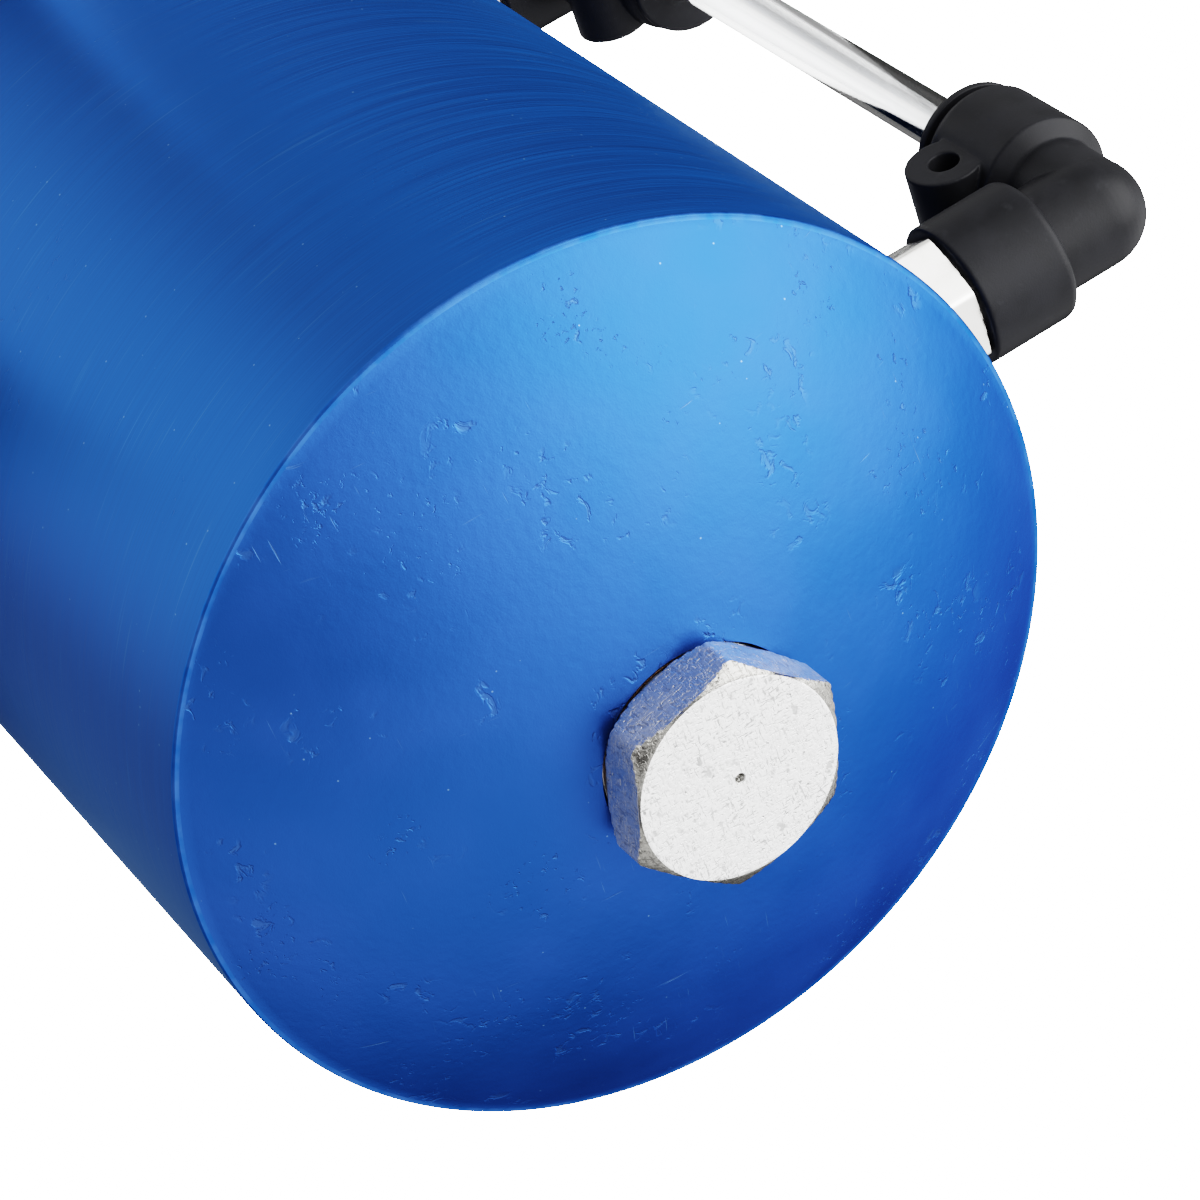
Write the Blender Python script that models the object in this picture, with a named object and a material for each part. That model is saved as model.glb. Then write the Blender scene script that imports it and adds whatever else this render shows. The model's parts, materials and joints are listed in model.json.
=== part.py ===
"""Oil catch can: a round tank that lets oil settle out of an engine's breather hose.

An upright blue can with a domed bottom. A hex plug drains it, a clear sight tube between two
push-in elbows shows the level, two hose barbs stand on its sides, and a breather filter sits on
its screw-on lid. It hangs from a flat plate on its back.

Metres, +Z up. The origin is the centre of the mounting plate's back face, and +Y points out of
that face. The can's own frame is the empty can_frame: z = 0 is the crease between wall and dome,
and the sight tube is on its -Y side.
"""

import math

import bmesh
import bpy
from mathutils import Matrix, Vector

# Can
CAN_RADIUS = 0.049
WALL = 0.0025
CAN_HEIGHT = 0.160
DOME_HEIGHT = 0.0162
GAP = 0.0003
CUT = 0.001  # how far a cutting tool reaches past the face it opens
BORE_RADIUS = CAN_RADIUS - WALL
INSIDE_RADIUS = BORE_RADIUS - GAP

# Drain
DRAIN_HOLE_RADIUS = 0.0109
DRAIN_THREAD_RADIUS = 0.008
DRAIN_HEX = 0.022
DRAIN_HEX_TURN = math.radians(15)
DRAIN_HEX_CHAMFER = 0.0011
DRAIN_HEX_BACK_CHAMFER = 0.0016
DRAIN_HEAD_BACK = -DOME_HEIGHT + 0.0004
DRAIN_HEAD = 0.0065
DRAIN_DIMPLE_RADIUS = 0.0006
DRAIN_DIMPLE_DEPTH = 0.0006
DRAIN_SHANK = 0.0092
DRAIN_WASHER = 0.001
DRAIN_BUNG_FLANGE = 0.014
DRAIN_BUNG_TOP = -0.008

# Sight gauge: two elbows, one tube
SIGHT_LOW = 0.0266
SIGHT_HIGH = 0.135
TUBE_DISTANCE = 0.0765
TUBE_RADIUS = 0.0030
TUBE_WALL = 0.0009
TUBE_DEPTH = 0.0070
KNEE_RADIUS = 0.00625
SOCKET_RADIUS = 0.00836
SOCKET_START = -0.0185
SOCKET_END = -0.0074
SOCKET_FLOOR = 0.0008
SOCKET_ROUND = 0.0008
LEG_RADIUS = 0.0081
LEG_START = 0.0084
LEG_END = 0.0206
LEG_ROUND = 0.0010
SHOULDER_START = 0.0070
EAR_CENTRE = (-0.0081, 0.0141)
EAR_RADIUS = 0.0045
EAR_HALF = 0.0059
EAR_HOLE = 0.00175
STEM_HEX = 0.014
STEM_HEX_TURN = math.radians(30)
STEM_THREAD_RADIUS = 0.0048
STEM_JOURNAL = 0.0059
STEM_BORE = 0.0025
STEM_GROOVE = (-0.0133, -0.0115)
STEM_SEAL_SECTION = 0.0006
JOURNAL_BORE = STEM_JOURNAL + GAP
CHAMBER_RADIUS = 0.0056
CHAMBER_FLOOR = 0.0100
COLLET_RADIUS = 0.0053
TUBE_SEAL_END = 0.0124
COLLET = (0.0127, 0.0166)
RING_SKIRT_RADIUS = 0.0052
RING_SKIRT_START = 0.0178
RING_FLANGE = (0.0215, 0.0226)
RING_FLANGE_RADIUS = 0.0075
SIGHT_BOSS_RADIUS = 0.009
SIGHT_BOSS_INNER = 0.0375

# Neck and lid
NECK_RADIUS = 0.040
NECK_BOTTOM = 0.148
LID_BOTTOM = CAN_HEIGHT + 0.0004
LID_TOP = 0.169
LID_SPIGOT_BOTTOM = 0.149
LID_RECESS_RADIUS = 0.034
LID_CEILING = 0.162
LID_SEAL_RADIUS = 0.043
LID_SEAL_SECTION = 0.0013
LID_CHAMFER = 0.0012

# Hose ports
PORT_HEIGHT = 0.132
PORT_BUNG_RADIUS = 0.013
PORT_BUNG_INNER = 0.043
PORT_BUNG_OUTER = 0.054
PORT_THREAD_RADIUS = 0.008
PORT_HEX = 0.024
PORT_HEX_LENGTH = 0.0072
PORT_WASHER = 0.0012
PORT_WASHER_RADIUS = 0.0114
BARB_RADIUS = 0.0078
BARB_RIDGE = 0.0088
BARB_BORE = 0.0055
BARB_LENGTH = 0.028
BARB_PITCH = 0.0055
BARB_COUNT = 4

# Baffle
DROP_TUBE_RADIUS = 0.007
DROP_TUBE_WALL = 0.001
DROP_TUBE_X = -0.018
DROP_TUBE_BEND = 0.012
DROP_TUBE_END = 0.070
SHELF = (0.092, 0.095)
SHELF_BORE = 0.042
BAFFLE_THICKNESS = 0.0018
PAD_HEIGHT = 0.014
BAFFLE_RADIUS = 0.0459
BAFFLE_HOLE_RADIUS = 0.0032
BAFFLE_HOLES = ((0.036, 9), (0.020, 5))
SNAP_RING_WIRE = 0.0016
SNAP_RING_HALF_GAP = 0.005

# Breather
NECK_TUBE_RADIUS = 0.0095
NECK_TUBE_BORE = 0.0072
NECK_TUBE_BOTTOM = 0.1565
NECK_TUBE_TOP = 0.186
NECK_FLANGE_RADIUS = 0.0135
NECK_FLANGE_THICKNESS = 0.0035
NECK_NUT_HEX = 0.026
NECK_NUT_THICKNESS = 0.004
COLLAR_RADIUS = 0.0125
COLLAR_BOTTOM = 0.1735
FILTER_BASE = 0.187
FILTER_BASE_RADIUS = 0.025
FILTER_START = 0.1925
FILTER_TOP = 0.228
FILTER_LIP = 0.004
FILTER_FOOT_RADIUS = 0.0234
FILTER_HEAD_RADIUS = 0.0175
FILTER_FOOT_WALL = 0.009
FILTER_HEAD_WALL = 0.006
FILTER_CAP_RADIUS = 0.0195
FILTER_CAP_ROUND = 0.002
FILTER_CAP_TOP = 0.236
CLAMP_BAND = (0.176, 0.184)
CLAMP_BAND_THICKNESS = 0.0008
CLAMP_HOUSING_X = (0.0131, 0.0214)
CLAMP_HOUSING_HALF = 0.006
CLAMP_SCREW_X = 0.0174
CLAMP_SCREW_RADIUS = 0.0023
CLAMP_SCREW_TIP = -0.0068
CLAMP_SCREW_HEX = 0.007
CLAMP_SCREW_HEAD = (0.0063, 0.0103)
CLAMP_SCREW_SLOT = 0.0013

# Mounting plate
PLATE_THICKNESS = 0.004
PLATE_BACK = 0.0623
PLATE_HALF_WIDTH = 0.046
PLATE_HALF_HEIGHT = 0.023
PLATE_CORNER = 0.006
MOUNT_HEIGHT = 0.105
SCREW_OFFSET = 0.014
SCREW_RADIUS = 0.0028
SCREW_HEAD_RADIUS = 0.0056
SCREW_SINK_RADIUS = 0.0063
SCREW_LENGTH = 0.0112
SCREW_KEY = 0.004
SCREW_KEY_DEPTH = 0.0024
SLOT_X = 0.037
SLOT_HALF_WIDTH = 0.0033
SLOT_HALF_TRAVEL = 0.005
BOSS_RADIUS = 0.008

LARGE, MEDIUM, SMALL, TINY = 40, 24, 16, 8

ALONG_X = Matrix.Rotation(math.pi / 2, 4, "Y")
ALONG_MINUS_X = Matrix.Rotation(-math.pi / 2, 4, "Y")
ALONG_Y = Matrix.Rotation(-math.pi / 2, 4, "X")
ALONG_MINUS_Y = Matrix.Rotation(math.pi / 2, 4, "X")


def material(name, colour, roughness, metallic=0.0, alpha=1.0):
    made = bpy.data.materials.new(name)
    made.use_nodes = True
    shader = made.node_tree.nodes["Principled BSDF"]
    shader.inputs["Base Color"].default_value = (*colour, 1.0)
    shader.inputs["Roughness"].default_value = roughness
    shader.inputs["Metallic"].default_value = metallic
    shader.inputs["Alpha"].default_value = alpha
    return made


# Meshes


def finished(bm, place=None):
    """The bmesh as a smooth-shaded mesh with its faces pointing out."""
    if place is not None:
        bm.transform(place)
    bmesh.ops.recalc_face_normals(bm, faces=bm.faces)
    mesh = bpy.data.meshes.new("mesh")
    bm.to_mesh(mesh)
    bm.free()
    mesh.shade_smooth()
    mesh.set_sharp_from_angle(angle=math.radians(35))
    return mesh


def turned(profile, segments, place=None):
    """A solid of revolution about Z. The profile is a closed loop of (radius, height)."""
    bm = bmesh.new()
    rings = []
    for radius, height in profile:
        count = segments if radius > 0 else 1
        turns = [math.tau * i / segments for i in range(count)]
        rings.append([bm.verts.new((radius * math.cos(a), radius * math.sin(a), height)) for a in turns])
    for ring, following in zip(rings, rings[1:] + rings[:1]):
        for i in range(segments):
            j = i + 1
            corners = (
                ring[i % len(ring)],
                ring[j % len(ring)],
                following[j % len(following)],
                following[i % len(following)],
            )
            corners = list(dict.fromkeys(corners))
            if len(corners) > 2:
                bm.faces.new(corners)
    return finished(bm, place)


def cylinder(radius, low, high, segments, place=None):
    return turned([(0, low), (radius, low), (radius, high), (0, high)], segments, place)


def sleeve(bore, radius, low, high, segments, place=None):
    return turned([(bore, low), (radius, low), (radius, high), (bore, high)], segments, place)


def hexagon(across_flats, low, high, place=None):
    return cylinder(across_flats / math.sqrt(3), low, high, 6, place)


def o_ring(ring_radius, section, height, segments, place=None):
    loop = [math.tau * i / 6 for i in range(6)]
    profile = [(ring_radius + section * math.cos(a), height + section * math.sin(a)) for a in loop]
    return turned(profile, segments, place)


def block(low, high):
    bm = bmesh.new()
    centre = (Vector(low) + Vector(high)) / 2
    size = Vector(high) - Vector(low)
    matrix = Matrix.Translation(centre) @ Matrix.Diagonal((*size, 1))
    bmesh.ops.create_cube(bm, size=1, matrix=matrix)
    return finished(bm)


def swept_tube(path, radius, bore, segments):
    """A hollow tube along a path in the XZ plane, open at both ends."""
    bm = bmesh.new()
    outer, inner = [], []
    for i, point in enumerate(path):
        before, after = path[max(i - 1, 0)], path[min(i + 1, len(path) - 1)]
        along = (after - before).normalized()
        side = Vector((0, 1, 0))
        across = along.cross(side)
        turns = [math.tau * k / segments for k in range(segments)]
        spokes = [math.cos(a) * side + math.sin(a) * across for a in turns]
        for rings, size in ((outer, radius), (inner, bore)):
            rings.append([bm.verts.new(point + size * spoke) for spoke in spokes])
    loops = outer + inner[::-1]
    for ring, following in zip(loops, loops[1:] + loops[:1]):
        for i in range(segments):
            j = (i + 1) % segments
            bm.faces.new((ring[i], ring[j], following[j], following[i]))
    return finished(bm)


def joined(meshes):
    bm = bmesh.new()
    for mesh in meshes:
        bm.from_mesh(mesh)
    return finished(bm)


def combined(mesh, operation, tool, place=None):
    """The mesh after a Boolean with the tool, which must be one or more closed meshes."""
    body = bpy.data.objects.new("body", mesh)
    cutter = bpy.data.objects.new("cutter", tool)
    for piece in (body, cutter):
        bpy.context.collection.objects.link(piece)
    if place is not None:
        cutter.matrix_world = place
    modifier = body.modifiers.new("Boolean", "BOOLEAN")
    modifier.operation = operation
    modifier.object = cutter
    graph = bpy.context.evaluated_depsgraph_get()
    bm = bmesh.new()
    bm.from_mesh(body.evaluated_get(graph).to_mesh())
    for piece in (body, cutter):
        bpy.data.objects.remove(piece, do_unlink=True)
    return finished(bm)


def rounded_end(radius, height, rounding, direction, steps=3):
    """Profile points of a rounded outer corner, from the side to the end face."""
    turns = [math.pi / 2 * i / steps for i in range(steps + 1)]
    inner = radius - rounding
    return [
        (inner + rounding * math.cos(a), height - direction * rounding * (1 - math.sin(a)))
        for a in turns
    ]


def empty(name, location, rotation=(0, 0, 0), parent=None):
    made = bpy.data.objects.new(name, None)
    bpy.context.collection.objects.link(made)
    made.location = location
    made.rotation_euler = rotation
    made.parent = parent
    return made


def node(name, mesh, finish, parent, location=(0, 0, 0)):
    made = bpy.data.objects.new(name, mesh)
    bpy.context.collection.objects.link(made)
    if not mesh.materials:
        mesh.materials.append(finish)
    made.parent = parent
    made.location = location
    return made


# Can and drain


def sphere_radius():
    return (CAN_RADIUS**2 + DOME_HEIGHT**2) / (2 * DOME_HEIGHT)


def dome_points(radius, start, end, count):
    """Points on a sphere about the dome's centre, between two distances from the axis."""
    centre = sphere_radius() - DOME_HEIGHT
    first, last = math.asin(start / radius), math.asin(end / radius)
    turns = [first + (last - first) * i / (count - 1) for i in range(count)]
    return [(radius * math.sin(a), centre - radius * math.cos(a)) for a in turns]


def can_mesh():
    outer = dome_points(sphere_radius(), DRAIN_HOLE_RADIUS, CAN_RADIUS, 8)
    inner = dome_points(sphere_radius() - WALL, DRAIN_HOLE_RADIUS, BORE_RADIUS, 6)
    shell = turned([*outer, (CAN_RADIUS, CAN_HEIGHT), (BORE_RADIUS, CAN_HEIGHT), *inner[::-1]], LARGE)
    sight_hole = STEM_THREAD_RADIUS + GAP
    reach = CAN_RADIUS * 1.1
    holes = []
    for height in (SIGHT_LOW, SIGHT_HIGH):
        at_height = Matrix.Translation((0, 0, height)) @ ALONG_MINUS_Y
        holes.append(cylinder(sight_hole, BORE_RADIUS * 0.8, reach, SMALL, at_height))
    across = Matrix.Translation((0, 0, PORT_HEIGHT)) @ ALONG_X
    holes.append(cylinder(PORT_BUNG_RADIUS + GAP, -reach, reach, MEDIUM, across))
    return combined(shell, "DIFFERENCE", joined(holes))


def drain(parent):
    head_back = DRAIN_HEAD_BACK
    washer = (head_back + GAP, head_back + GAP + DRAIN_WASHER)
    seat = washer[1] + GAP
    bore = DRAIN_THREAD_RADIUS + GAP
    neck = DRAIN_HOLE_RADIUS - GAP
    inside = sphere_radius() - WALL - GAP
    shoulder = dome_points(inside, neck, DRAIN_BUNG_FLANGE, 2)
    bung = [(bore, seat), (neck, seat), *shoulder]
    bung += [(DRAIN_BUNG_FLANGE, DRAIN_BUNG_TOP), (bore, DRAIN_BUNG_TOP)]
    node("drain_bung", turned(bung, MEDIUM), WELDED, parent)
    node("drain_washer", sleeve(bore, neck - 0.0002, *washer, MEDIUM), COPPER, parent)

    face = head_back - DRAIN_HEAD
    corner = DRAIN_HEX / math.sqrt(3)
    flat = DRAIN_HEX / 2
    barrel = turned(
        [
            (0, face),
            (flat - 0.0001, face),
            (corner, face + DRAIN_HEX_CHAMFER),
            (corner, head_back - DRAIN_HEX_BACK_CHAMFER),
            (flat - 0.0001, head_back),
            (0, head_back),
        ],
        MEDIUM,
    )
    turn = Matrix.Rotation(DRAIN_HEX_TURN, 4, "Z")
    head = combined(hexagon(DRAIN_HEX, face - CUT, head_back + CUT, turn), "INTERSECT", barrel)
    tip = head_back + DRAIN_SHANK
    thread = DRAIN_THREAD_RADIUS
    middle = (face + head_back) / 2
    shank = [(0, middle), (thread, middle), (thread, tip - 0.001), (thread - 0.001, tip), (0, tip)]
    plug = combined(head, "UNION", turned(shank, SMALL))
    mouth = DRAIN_DIMPLE_RADIUS * (DRAIN_DIMPLE_DEPTH + CUT) / DRAIN_DIMPLE_DEPTH
    dimple = turned([(0, face - CUT), (mouth, face - CUT), (0, face + DRAIN_DIMPLE_DEPTH)], TINY)
    node("drain_plug", combined(plug, "DIFFERENCE", dimple), PLUG, parent)


# Sight gauge


def elbow_mesh():
    """The elbow's moulding: a socket along X, a leg along Z, and an ear between them."""
    dome = [
        (KNEE_RADIUS * math.cos(a), KNEE_RADIUS * math.sin(a))
        for a in (math.pi / 2 * i / 5 for i in range(1, 5))
    ]
    socket = [(0, SOCKET_START), (SOCKET_RADIUS, SOCKET_START)]
    socket += rounded_end(SOCKET_RADIUS, SOCKET_END, SOCKET_ROUND, 1)
    socket += [(KNEE_RADIUS, SOCKET_END), (KNEE_RADIUS, 0), *dome, (0, KNEE_RADIUS)]
    leg = [(0, 0), (KNEE_RADIUS - 0.0001, 0), (KNEE_RADIUS - 0.0001, SHOULDER_START), (LEG_RADIUS, LEG_START)]
    leg += [*rounded_end(LEG_RADIUS, LEG_END, LEG_ROUND, 1), (0, LEG_END)]
    ear_x, ear_z = EAR_CENTRE
    at_ear = Matrix.Translation((ear_x, 0, ear_z)) @ ALONG_Y
    web = block((ear_x - 0.0040, -0.0016, KNEE_RADIUS), (-0.003, 0.0016, ear_z))

    body = combined(turned(socket, SMALL, ALONG_X), "UNION", turned(leg, SMALL))
    body = combined(body, "UNION", web)
    body = combined(body, "UNION", cylinder(EAR_RADIUS, -EAR_HALF, EAR_HALF, SMALL, at_ear))

    journal_end = SOCKET_END - SOCKET_FLOOR
    stem_bore = [(0, SOCKET_START - CUT), (JOURNAL_BORE, SOCKET_START - CUT)]
    stem_bore += [(JOURNAL_BORE, journal_end), (STEM_BORE, journal_end), (STEM_BORE, CUT), (0, CUT)]
    tube_bore = TUBE_RADIUS + GAP
    mouth = LEG_END + CUT
    tube_passage = [(0, 0), (TUBE_RADIUS - TUBE_WALL, 0), (TUBE_RADIUS - TUBE_WALL, TUBE_DEPTH - GAP)]
    tube_passage += [(tube_bore, TUBE_DEPTH - GAP), (tube_bore, CHAMBER_FLOOR)]
    tube_passage += [(CHAMBER_RADIUS, CHAMBER_FLOOR), (CHAMBER_RADIUS, mouth), (0, mouth)]
    body = combined(body, "DIFFERENCE", turned(stem_bore, SMALL, ALONG_X))
    body = combined(body, "DIFFERENCE", turned(tube_passage, SMALL))
    return combined(body, "DIFFERENCE", cylinder(EAR_HOLE, -EAR_HALF * 1.2, EAR_HALF * 1.2, TINY, at_ear))


def stem_mesh():
    """The elbow's metal stem along X: thread, hex, and the grooved journal in the moulding."""
    thread_end = SIGHT_BOSS_INNER - 0.0015 - TUBE_DISTANCE
    hex_start = CAN_RADIUS + 0.0004 - TUBE_DISTANCE
    hex_end = SOCKET_START - GAP
    groove = STEM_JOURNAL - 0.0015
    tip = SOCKET_END - SOCKET_FLOOR - GAP
    middle = (hex_start + hex_end) / 2
    turned_hex = ALONG_X @ Matrix.Rotation(STEM_HEX_TURN, 4, "Z")
    spindle = [(0, thread_end), (STEM_THREAD_RADIUS - 0.0007, thread_end)]
    spindle += [(STEM_THREAD_RADIUS, thread_end + 0.0007), (STEM_THREAD_RADIUS, middle)]
    spindle += [(STEM_JOURNAL, middle), (STEM_JOURNAL, STEM_GROOVE[0]), (groove, STEM_GROOVE[0])]
    spindle += [(groove, STEM_GROOVE[1]), (STEM_JOURNAL, STEM_GROOVE[1]), (STEM_JOURNAL, tip), (0, tip)]
    barrel = hexagon(STEM_HEX, hex_start, hex_end, turned_hex)
    stem = combined(turned(spindle, SMALL, ALONG_X), "UNION", barrel)
    bore = cylinder(STEM_BORE, thread_end - CUT, tip + CUT, TINY, ALONG_X)
    return combined(stem, "DIFFERENCE", bore)


def release_ring_mesh():
    low, high = RING_FLANGE
    bore = TUBE_RADIUS + GAP
    profile = [(bore, RING_SKIRT_START), (RING_SKIRT_RADIUS, RING_SKIRT_START), (RING_SKIRT_RADIUS, low)]
    profile += [(RING_FLANGE_RADIUS, low)]
    profile += [(RING_FLANGE_RADIUS, high - 0.0005), (RING_FLANGE_RADIUS - 0.0005, high), (bore, high)]
    return turned(profile, SMALL)


def sight_boss_mesh():
    """A threaded boss along -Y whose outer end follows the inside of the can."""
    thread = STEM_THREAD_RADIUS + GAP
    boss = sleeve(thread, SIGHT_BOSS_RADIUS, SIGHT_BOSS_INNER, CAN_RADIUS, SMALL, ALONG_MINUS_Y)
    return combined(boss, "INTERSECT", cylinder(INSIDE_RADIUS, -0.02, 0.02, LARGE))


def sight_gauge(parent):
    seal_x = (STEM_GROOVE[0] + STEM_GROOVE[1]) / 2
    seal_radius = STEM_JOURNAL - STEM_SEAL_SECTION
    tube_seal = sleeve(TUBE_RADIUS + GAP, COLLET_RADIUS, CHAMBER_FLOOR + GAP, TUBE_SEAL_END, SMALL)
    meshes = {
        "elbow_body": (elbow_mesh(), BLACK_PLASTIC),
        "elbow_stem": (stem_mesh(), NICKEL),
        "stem_seal": (o_ring(seal_radius, STEM_SEAL_SECTION, seal_x, SMALL, ALONG_X), RUBBER),
        "tube_seal": (tube_seal, RUBBER),
        "grip_collet": (sleeve(TUBE_RADIUS + GAP, COLLET_RADIUS, *COLLET, SMALL), STAINLESS),
        "release_ring": (release_ring_mesh(), BLACK_PLASTIC),
    }
    boss = sight_boss_mesh()
    for end, height, flip in (("lower", SIGHT_LOW, 0), ("upper", SIGHT_HIGH, math.pi)):
        rotation = (flip, 0, -math.pi / 2)
        elbow_frame = empty(f"{end}_elbow_frame", (0, -TUBE_DISTANCE, height), rotation, parent)
        for name, (mesh, finish) in meshes.items():
            node(f"{end}_{name}", mesh, finish, elbow_frame)
        node(f"{end}_sight_boss", boss, WELDED, parent, (0, 0, height))
    low, high = SIGHT_LOW + TUBE_DEPTH, SIGHT_HIGH - TUBE_DEPTH
    tube = sleeve(TUBE_RADIUS - TUBE_WALL, TUBE_RADIUS, low, high, SMALL)
    node("sight_tube", tube, CLEAR_TUBE, parent, (0, -TUBE_DISTANCE, 0))


# Neck, lid and hose ports


def lid(parent):
    neck = sleeve(NECK_RADIUS, INSIDE_RADIUS, NECK_BOTTOM, CAN_HEIGHT, LARGE)
    node("neck_ring", neck, WELDED, parent)
    spigot = NECK_RADIUS - GAP
    hole = NECK_TUBE_RADIUS + GAP
    groove_in = LID_SEAL_RADIUS - LID_SEAL_SECTION - GAP
    groove_out = LID_SEAL_RADIUS + LID_SEAL_SECTION + GAP
    seal_height = CAN_HEIGHT + GAP + LID_SEAL_SECTION
    groove_top = seal_height + LID_SEAL_SECTION + GAP
    profile = [
        (hole, LID_TOP),
        (hole, LID_CEILING),
        (LID_RECESS_RADIUS, LID_CEILING),
        (LID_RECESS_RADIUS, LID_SPIGOT_BOTTOM),
        (spigot - 0.001, LID_SPIGOT_BOTTOM),
        (spigot, LID_SPIGOT_BOTTOM + 0.001),
        (spigot, LID_BOTTOM),
        (groove_in, LID_BOTTOM),
        (groove_in, groove_top),
        (groove_out, groove_top),
        (groove_out, LID_BOTTOM),
        (CAN_RADIUS, LID_BOTTOM),
        (CAN_RADIUS, LID_TOP - LID_CHAMFER),
        (CAN_RADIUS - LID_CHAMFER, LID_TOP),
    ]
    node("lid", turned(profile, LARGE), BLUE, parent)
    node("lid_seal", o_ring(LID_SEAL_RADIUS, LID_SEAL_SECTION, seal_height, LARGE), RUBBER, parent)


def barb_mesh(hex_start):
    """A hose barb along X: thread, hex, and ridges that taper towards the tip."""
    thread_end = PORT_BUNG_INNER + 0.001
    hex_end = hex_start + PORT_HEX_LENGTH
    tip = hex_end + BARB_LENGTH
    spindle = [(0, thread_end), (PORT_THREAD_RADIUS, thread_end), (PORT_THREAD_RADIUS, hex_start + 0.003)]
    spindle += [(BARB_RADIUS, hex_start + 0.003), (BARB_RADIUS, tip - BARB_COUNT * BARB_PITCH)]
    for k in range(BARB_COUNT):
        start = tip - (BARB_COUNT - k) * BARB_PITCH
        spindle += [(BARB_RIDGE, start), (BARB_RADIUS - 0.0006, start + BARB_PITCH)]
    spindle += [(0, tip)]
    barrel = hexagon(PORT_HEX, hex_start, hex_end, ALONG_X)
    fitting = combined(turned(spindle, SMALL, ALONG_X), "UNION", barrel)
    bore = cylinder(BARB_BORE, thread_end - CUT, tip + CUT, SMALL, ALONG_X)
    return combined(fitting, "DIFFERENCE", bore)


def hose_ports(parent):
    bore = PORT_THREAD_RADIUS + GAP
    washer = (PORT_BUNG_OUTER + GAP, PORT_BUNG_OUTER + GAP + PORT_WASHER)
    bung = sleeve(bore, PORT_BUNG_RADIUS, PORT_BUNG_INNER, PORT_BUNG_OUTER, MEDIUM, ALONG_X)
    washer_mesh = sleeve(bore, PORT_WASHER_RADIUS, *washer, SMALL, ALONG_X)
    barb = barb_mesh(washer[1] + GAP)
    for name, turn in (("outlet", 0), ("inlet", math.pi)):
        port_frame = empty(f"{name}_port_frame", (0, 0, PORT_HEIGHT), (0, 0, turn), parent)
        node(f"{name}_bung", bung, BLUE, port_frame)
        node(f"{name}_washer", washer_mesh, RUBBER, port_frame)
        node(f"{name}_barb", barb, PLUG, port_frame)


# Baffle


def perforated_disc(thickness):
    disc = cylinder(BAFFLE_RADIUS, 0, thickness, LARGE)
    tube_centre = Vector((DROP_TUBE_X, 0))
    clearance = DROP_TUBE_RADIUS + 2 * GAP
    through = (-CUT, thickness + CUT)
    holes = [cylinder(clearance, *through, SMALL, Matrix.Translation((DROP_TUBE_X, 0, 0)))]
    for ring_radius, count in BAFFLE_HOLES:
        for k in range(count):
            turn = math.tau * k / count
            spot = Vector((ring_radius * math.cos(turn), ring_radius * math.sin(turn)))
            if (spot - tube_centre).length > clearance + BAFFLE_HOLE_RADIUS + 0.002:
                holes.append(cylinder(BAFFLE_HOLE_RADIUS, *through, TINY, Matrix.Translation((*spot, 0))))
    return combined(disc, "DIFFERENCE", joined(holes))


def baffle(parent):
    shelf_low, shelf_high = SHELF
    node("baffle_shelf", sleeve(SHELF_BORE, INSIDE_RADIUS, shelf_low, shelf_high, LARGE), WELDED, parent)
    disc = perforated_disc(BAFFLE_THICKNESS)
    level = shelf_high + GAP
    node("lower_baffle", disc, STAINLESS, parent, (0, 0, level))
    level += BAFFLE_THICKNESS + GAP
    tube_hole = cylinder(DROP_TUBE_RADIUS + 2 * GAP, -CUT, PAD_HEIGHT + CUT, SMALL)
    pad = cylinder(BAFFLE_RADIUS - 0.0008, 0, PAD_HEIGHT, MEDIUM)
    pad = combined(pad, "DIFFERENCE", tube_hole, Matrix.Translation((DROP_TUBE_X, 0, 0)))
    node("steel_wool_pad", pad, STEEL_WOOL, parent, (0, 0, level))
    level += PAD_HEIGHT + GAP
    node("upper_baffle", disc, STAINLESS, parent, (0, 0, level))
    level += BAFFLE_THICKNESS + GAP
    wire, half_gap = SNAP_RING_WIRE, SNAP_RING_HALF_GAP
    snap_ring = sleeve(BAFFLE_RADIUS - 0.002, BAFFLE_RADIUS, 0, wire, LARGE)
    snap_gap = block((-half_gap, BAFFLE_RADIUS * 0.9, -wire), (half_gap, BAFFLE_RADIUS * 1.1, 2 * wire))
    node("retaining_ring", combined(snap_ring, "DIFFERENCE", snap_gap), STAINLESS, parent, (0, 0, level))


def drop_tube(parent):
    start = Vector((-PORT_BUNG_INNER + GAP, 0, PORT_HEIGHT))
    centre = Vector((DROP_TUBE_X - DROP_TUBE_BEND, 0, PORT_HEIGHT - DROP_TUBE_BEND))
    steps = 6
    bend = [
        centre + DROP_TUBE_BEND * Vector((math.sin(a), 0, math.cos(a)))
        for a in (math.pi / 2 * i / steps for i in range(steps + 1))
    ]
    path = [start, *bend, Vector((DROP_TUBE_X, 0, DROP_TUBE_END))]
    tube = swept_tube(path, DROP_TUBE_RADIUS, DROP_TUBE_RADIUS - DROP_TUBE_WALL, SMALL)
    node("drop_tube", tube, STAINLESS, parent)


# Breather


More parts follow.
